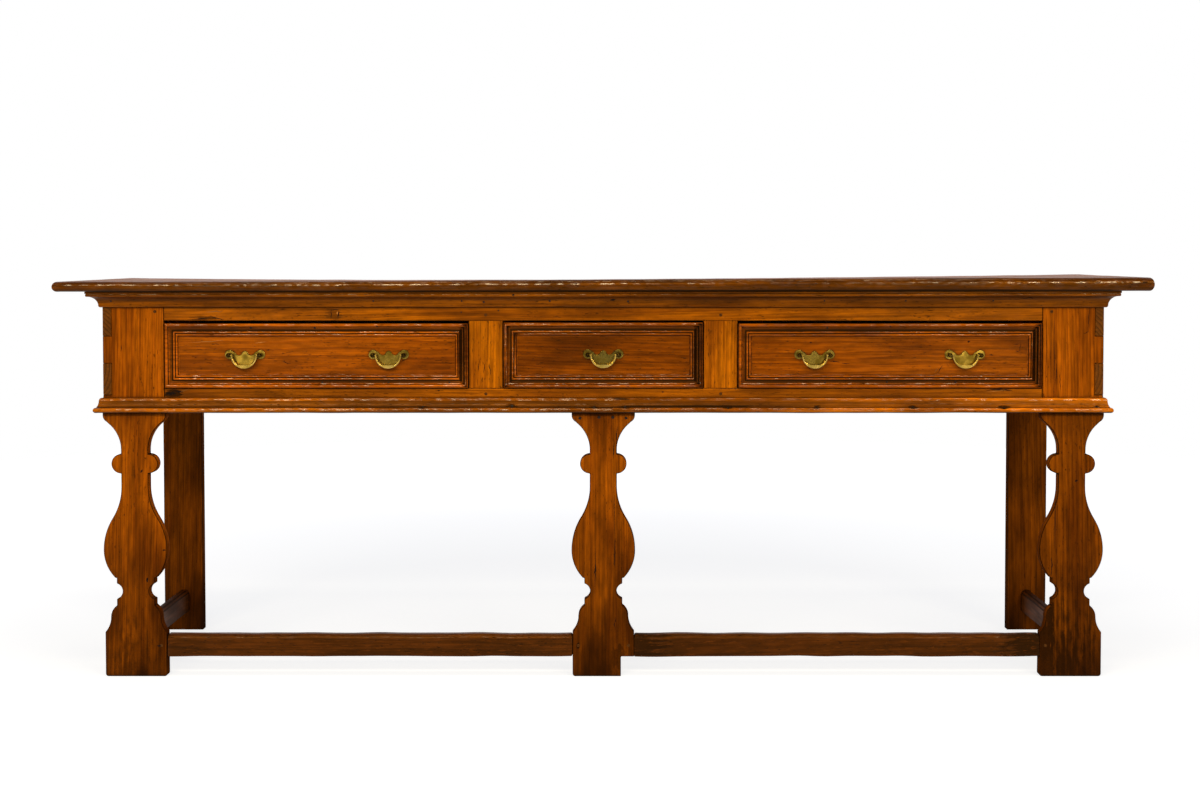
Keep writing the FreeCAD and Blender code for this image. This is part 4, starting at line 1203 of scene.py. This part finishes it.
# Cracks, knots, holes and chips on the front, in mm: X, Z, length, width and turn from level in degrees.
SCARS = {
    "cornice_front": [
        (-805, 797, 20, 2.4, 90), (20, 795, 13, 8, 15), (887, 798, 34, 3, 6),
        (893, 799, 16, 6, -20),
    ],
    "top_rail": [
        (-571, 766, 22, 3, 86), (-556, 764, 17, 4, 78), (-846, 756, 50, 2, 4),
        (-812, 758, 34, 2, -14), (-563, 775, 20, 2, 8),
    ],
    "bottom_rail": [
        (-908, 599, 24, 9, 4), (-893, 603, 22, 5, -8), (826, 608, 58, 3, 4), (848, 606, 24, 3, -4),
        (125, 602, 5, 4, 0), (-346, 605, 7, 5, 0),
    ],
    "muntin_left": [(-250, 652, 24, 1.6, 80), (-238, 650, 28, 1.6, 100), (-262, 655, 16, 1.6, 85)],
    "drawer_left_front": [(-704, 690, 9, 2.4, 10), (-668, 664, 12, 2, -30), (-420, 668, 10, 2, 20)],
    "drawer_right_front": [
        (486, 666, 26, 2.4, -8), (510, 662, 20, 2, -4), (436, 706, 5, 4, 0), (768, 708, 6, 5, 0),
        (816, 680, 9, 3, -10), (868, 703, 16, 1.6, 0), (876, 696, 18, 1.6, 84),
        (872, 688, 14, 1.6, 6), (708, 650, 20, 2, 60),
    ],
    "front_leg_left": [
        (-972, 435, 8, 5, 60), (-926, 268, 8, 4, 0), (-962, 205, 12, 5, 80), (-938, 65, 8, 6, 0),
        (-1012, 694, 16, 1.6, 88),
    ],
    "front_leg_centre": [
        (-54, 65, 9, 7, 70), (28, 505, 60, 2.4, 88), (22, 480, 40, 2, 86), (24, 262, 66, 2.4, 89),
        (23, 350, 120, 1.4, 90), (24, 112, 30, 2, 88), (-17, 223, 34, 3.2, 88),
        (-17, 215, 120, 1.4, 89),
    ],
    "front_leg_right": [
        (996, 415, 8, 5, 20), (952, 330, 130, 1.6, 90), (945, 232, 46, 2.6, 88),
        (930, 684, 180, 1.4, 90), (940, 690, 160, 1.2, 90), (947, 680, 190, 1.6, 90),
        (1019, 752, 54, 1.8, 89), (1014, 727, 12, 1.6, 30), (952, 640, 46, 1.8, 86),
        (960, 622, 40, 1.6, 92),
    ],
}
# Scratches and splits that bare the pale wood, in mm as above.
BARED = {
    "top_rail": [(-817, 771, 40, 3, 2), (-558, 768, 3, 10, 0)],
    "bottom_rail": [(828, 604, 50, 2, 3), (-880, 605, 22, 2.4, 20)],
    "drawer_left_front": [(-834, 708, 78, 1.8, 3), (-720, 706, 26, 1.6, 6), (-770, 662, 18, 1.6, -20)],
    "drawer_right_front": [(700, 648, 14, 1.6, 50)],
}


class DRESSER_OT_nails(bpy.types.Operator):
    """Make the nail heads, and the cracks and holes in the front of the case and the legs"""

    bl_idname = "dresser.nails"
    bl_label = "Nails and scars"

    def nail(self, bm, place, radius):
        """A hammered head let into the wood."""
        turn = place @ Matrix.Rotation(math.pi / 2, 4, "X")
        bmesh.ops.create_cone(
            bm, cap_ends=True, segments=8, radius1=radius, radius2=radius * 0.6, depth=1.4 * MM, matrix=turn
        )

    def scar(self, bm, place, size, width, turn, chance):
        """A sliver level with the wood, pointed and crooked as a crack is."""
        matrix = place @ Matrix.Rotation(-turn, 4, "Y")
        seed = chance.uniform(0, 99)
        made = bmesh.ops.create_icosphere(bm, subdivisions=3, radius=1)
        for vert in made["verts"]:
            along, through, across = vert.co
            taper = max(0.0, 1 - abs(along)) ** 0.4
            ragged = taper * (1 + 0.9 * noise.noise((along * 6, seed, 0)))
            bend = noise.noise((along * 2.5, seed, 9)) * min(size * 0.08, width)
            flat = Vector((along * size / 2, through * 0.2 * MM, across * ragged * width * 0.36 + bend))
            vert.co = matrix @ flat

    def execute(self, context):
        for node, nails in NAILS.items():
            bm = bmesh.new()
            surface = surface_of(node)
            for x, z, radius in nails:
                self.nail(bm, against(surface, x, z), radius * MM)
            settle(bm)
            finished(f"{node}_nails", bm, "iron", BODY_OF[node])
        for kind, listed in (("scar", SCARS), ("bare", BARED)):
            for node, scars in listed.items():
                bm = bmesh.new()
                surface = surface_of(node)
                chance = random.Random(f"{node} {kind}")
                for x, z, size, width, turn in scars:
                    place = against(surface, x, z)
                    self.scar(bm, place, size * MM, width * MM, math.radians(turn), chance)
                lay_grain(bm, node, (1, 1))
                settle(bm)
                finished(f"{node}_{kind}s", bm, kind, BODY_OF[node])
        return {"FINISHED"}


class DRESSER_OT_stage(bpy.types.Operator):
    """Make the floor, the light and the camera"""

    bl_idname = "dresser.stage"
    bl_label = "Stage"

    def lamp(self, name, place, size, power):
        """A soft lamp turned to the middle of the dresser."""
        light = bpy.data.lights.new(name, "AREA")
        light.shape = "RECTANGLE"
        light.size, light.size_y = size
        light.energy = power
        light.color = bpy.context.scene.dresser_stage.lamp_colour
        lamp = bpy.data.objects.new(name, light)
        lamp.location = place
        middle = Vector((0, 0, 0.45))
        lamp.rotation_euler = (middle - Vector(place)).to_track_quat("-Z", "Y").to_euler()
        bpy.context.scene.collection.objects.link(lamp)

    def floor(self, scene):
        """A round sheet of white paper that keeps the shadow and runs out into the white around it."""
        material, tree, shader = new_material("Matt white paper")
        rays = add(tree, "LightPath").outputs
        seen = rays["Is Camera Ray"]
        for ray in ("Is Glossy Ray", "Is Transmission Ray"):
            seen = add(tree, "Math", (seen, rays[ray]), operation="MAXIMUM")
        place = add(tree, "TexCoord").outputs["Object"]
        away = add(tree, "VectorMath", (place,), operation="LENGTH")
        glow = add(tree, "MapRange", (away, 1.2, 3.4, 0.78, 1.0))
        glow = add(tree, "Math", (glow, seen), operation="MULTIPLY")
        inputs = {
            "Base Color": opaque(scene.dresser_stage.paper),
            "Roughness": 1.0,
            "Specular IOR Level": 0.0,
            "Emission Color": (1, 1, 1, 1),
            "Emission Strength": glow,
        }
        wire(tree, shader, inputs)
        bm = bmesh.new()
        bmesh.ops.create_circle(bm, cap_ends=True, segments=64, radius=4.5)
        mesh = bpy.data.meshes.new("floor")
        bm.to_mesh(mesh)
        bm.free()
        mesh.materials.append(material)
        floor = bpy.data.objects.new("floor", mesh)
        scene.collection.objects.link(floor)

    def world(self, scene):
        """A white studio: white behind, and dimmer in front for what gloss and metal show of it."""
        stage = scene.dresser_stage
        world = bpy.data.worlds.new("White studio")
        scene.world = world
        world.use_nodes = True
        tree = world.node_tree
        tree.nodes.clear()
        rays = add(tree, "LightPath").outputs
        glossy = (rays["Is Glossy Ray"], rays["Is Transmission Ray"])
        mirror = add(tree, "Math", glossy, operation="MAXIMUM")
        direction = add(tree, "SeparateXYZ", (add(tree, "TexCoord").outputs["Generated"],)).outputs
        behind = (direction[1], -0.2, 0.5, stage.dim_front, 1.0)
        mirrored = add(tree, "MapRange", behind)
        ceiling = add(tree, "MapRange", (direction[2], 0.35, 0.75, 0.0, 0.12))
        mirrored = add(tree, "Math", (mirrored, ceiling), operation="MAXIMUM")
        strength = add(tree, "MapRange", (mirror, 0.0, 1.0, stage.ambient, mirrored))
        strength = add(tree, "Math", (strength, rays["Is Camera Ray"]), operation="MAXIMUM")
        background = add(tree, "Background", {"Color": (1, 1, 1, 1), "Strength": strength})
        add(tree, "OutputWorld", {"Surface": background})

    def camera(self, scene):
        """The camera at the height, distance and framing of the photograph."""
        stage = scene.dresser_stage
        data = bpy.data.cameras.new("camera")
        data.sensor_width = 36
        data.sensor_fit = "HORIZONTAL"
        data.lens = stage.focal
        data.shift_x, data.shift_y = stage.shift
        camera = bpy.data.objects.new("camera", data)
        camera.location = stage.camera_place
        camera.rotation_euler = (math.pi / 2 - stage.camera_tilt, 0, 0)
        scene.collection.objects.link(camera)
        scene.camera = camera

    def execute(self, context):
        scene = context.scene
        stage = scene.dresser_stage
        scene.view_settings.view_transform = "Standard"
        self.floor(scene)
        self.world(scene)
        self.lamp("key", (-1.0, -3.2, 2.3), (2.6, 0.3), stage.key_power)
        self.lamp("fill", (2.0, -3.2, 2.1), (1.6, 0.3), stage.fill_power)
        self.lamp("overhead", (0, -0.9, 3.0), (3.0, 0.3), stage.top_power)
        self.lamp("low left", (-1.55, -3.4, 0.75), (0.9, 0.8), stage.side_power)
        self.lamp("low right", (1.5, -3.4, 0.75), (0.9, 0.8), stage.side_power)
        self.camera(scene)
        return {"FINISHED"}


MAKERS = (
    DRESSER_OT_top,
    DRESSER_OT_mouldings,
    DRESSER_OT_front_frame,
    DRESSER_OT_legs,
    DRESSER_OT_stretchers,
    DRESSER_OT_case,
    DRESSER_OT_drawers,
    DRESSER_OT_handles,
    DRESSER_OT_nails,
    DRESSER_OT_stage,
)


class DRESSER_PT_sidebar(bpy.types.Panel):
    """The settings and makers of the dresser"""

    bl_idname = "DRESSER_PT_sidebar"
    bl_label = "Dresser base"
    bl_space_type = "VIEW_3D"
    bl_region_type = "UI"
    bl_category = "Dresser"

    def draw(self, context):
        scene = context.scene
        for group in (scene.dresser_wood, scene.dresser_brass, scene.dresser_stage):
            box = self.layout.box()
            for name in group.__annotations__:
                box.prop(group, name)
        for maker in MAKERS:
            self.layout.operator(maker.bl_idname)


CLASSES = (DresserWood, DresserBrass, DresserStage, *MAKERS, DRESSER_PT_sidebar)


def register():
    for item in CLASSES:
        bpy.utils.register_class(item)
    bpy.types.Scene.dresser_wood = PointerProperty(type=DresserWood)
    bpy.types.Scene.dresser_brass = PointerProperty(type=DresserBrass)
    bpy.types.Scene.dresser_stage = PointerProperty(type=DresserStage)


def unregister():
    del bpy.types.Scene.dresser_stage
    del bpy.types.Scene.dresser_brass
    del bpy.types.Scene.dresser_wood
    for item in reversed(CLASSES):
        bpy.utils.unregister_class(item)


def main():
    register()
    bpy.ops.dresser.top()
    bpy.ops.dresser.mouldings()
    bpy.ops.dresser.front_frame()
    bpy.ops.dresser.legs()
    bpy.ops.dresser.stretchers()
    bpy.ops.dresser.case()
    bpy.ops.dresser.drawers()
    bpy.ops.dresser.handles()
    bpy.ops.dresser.nails()
    bpy.ops.dresser.stage()


if __name__ == "__main__":
    main()
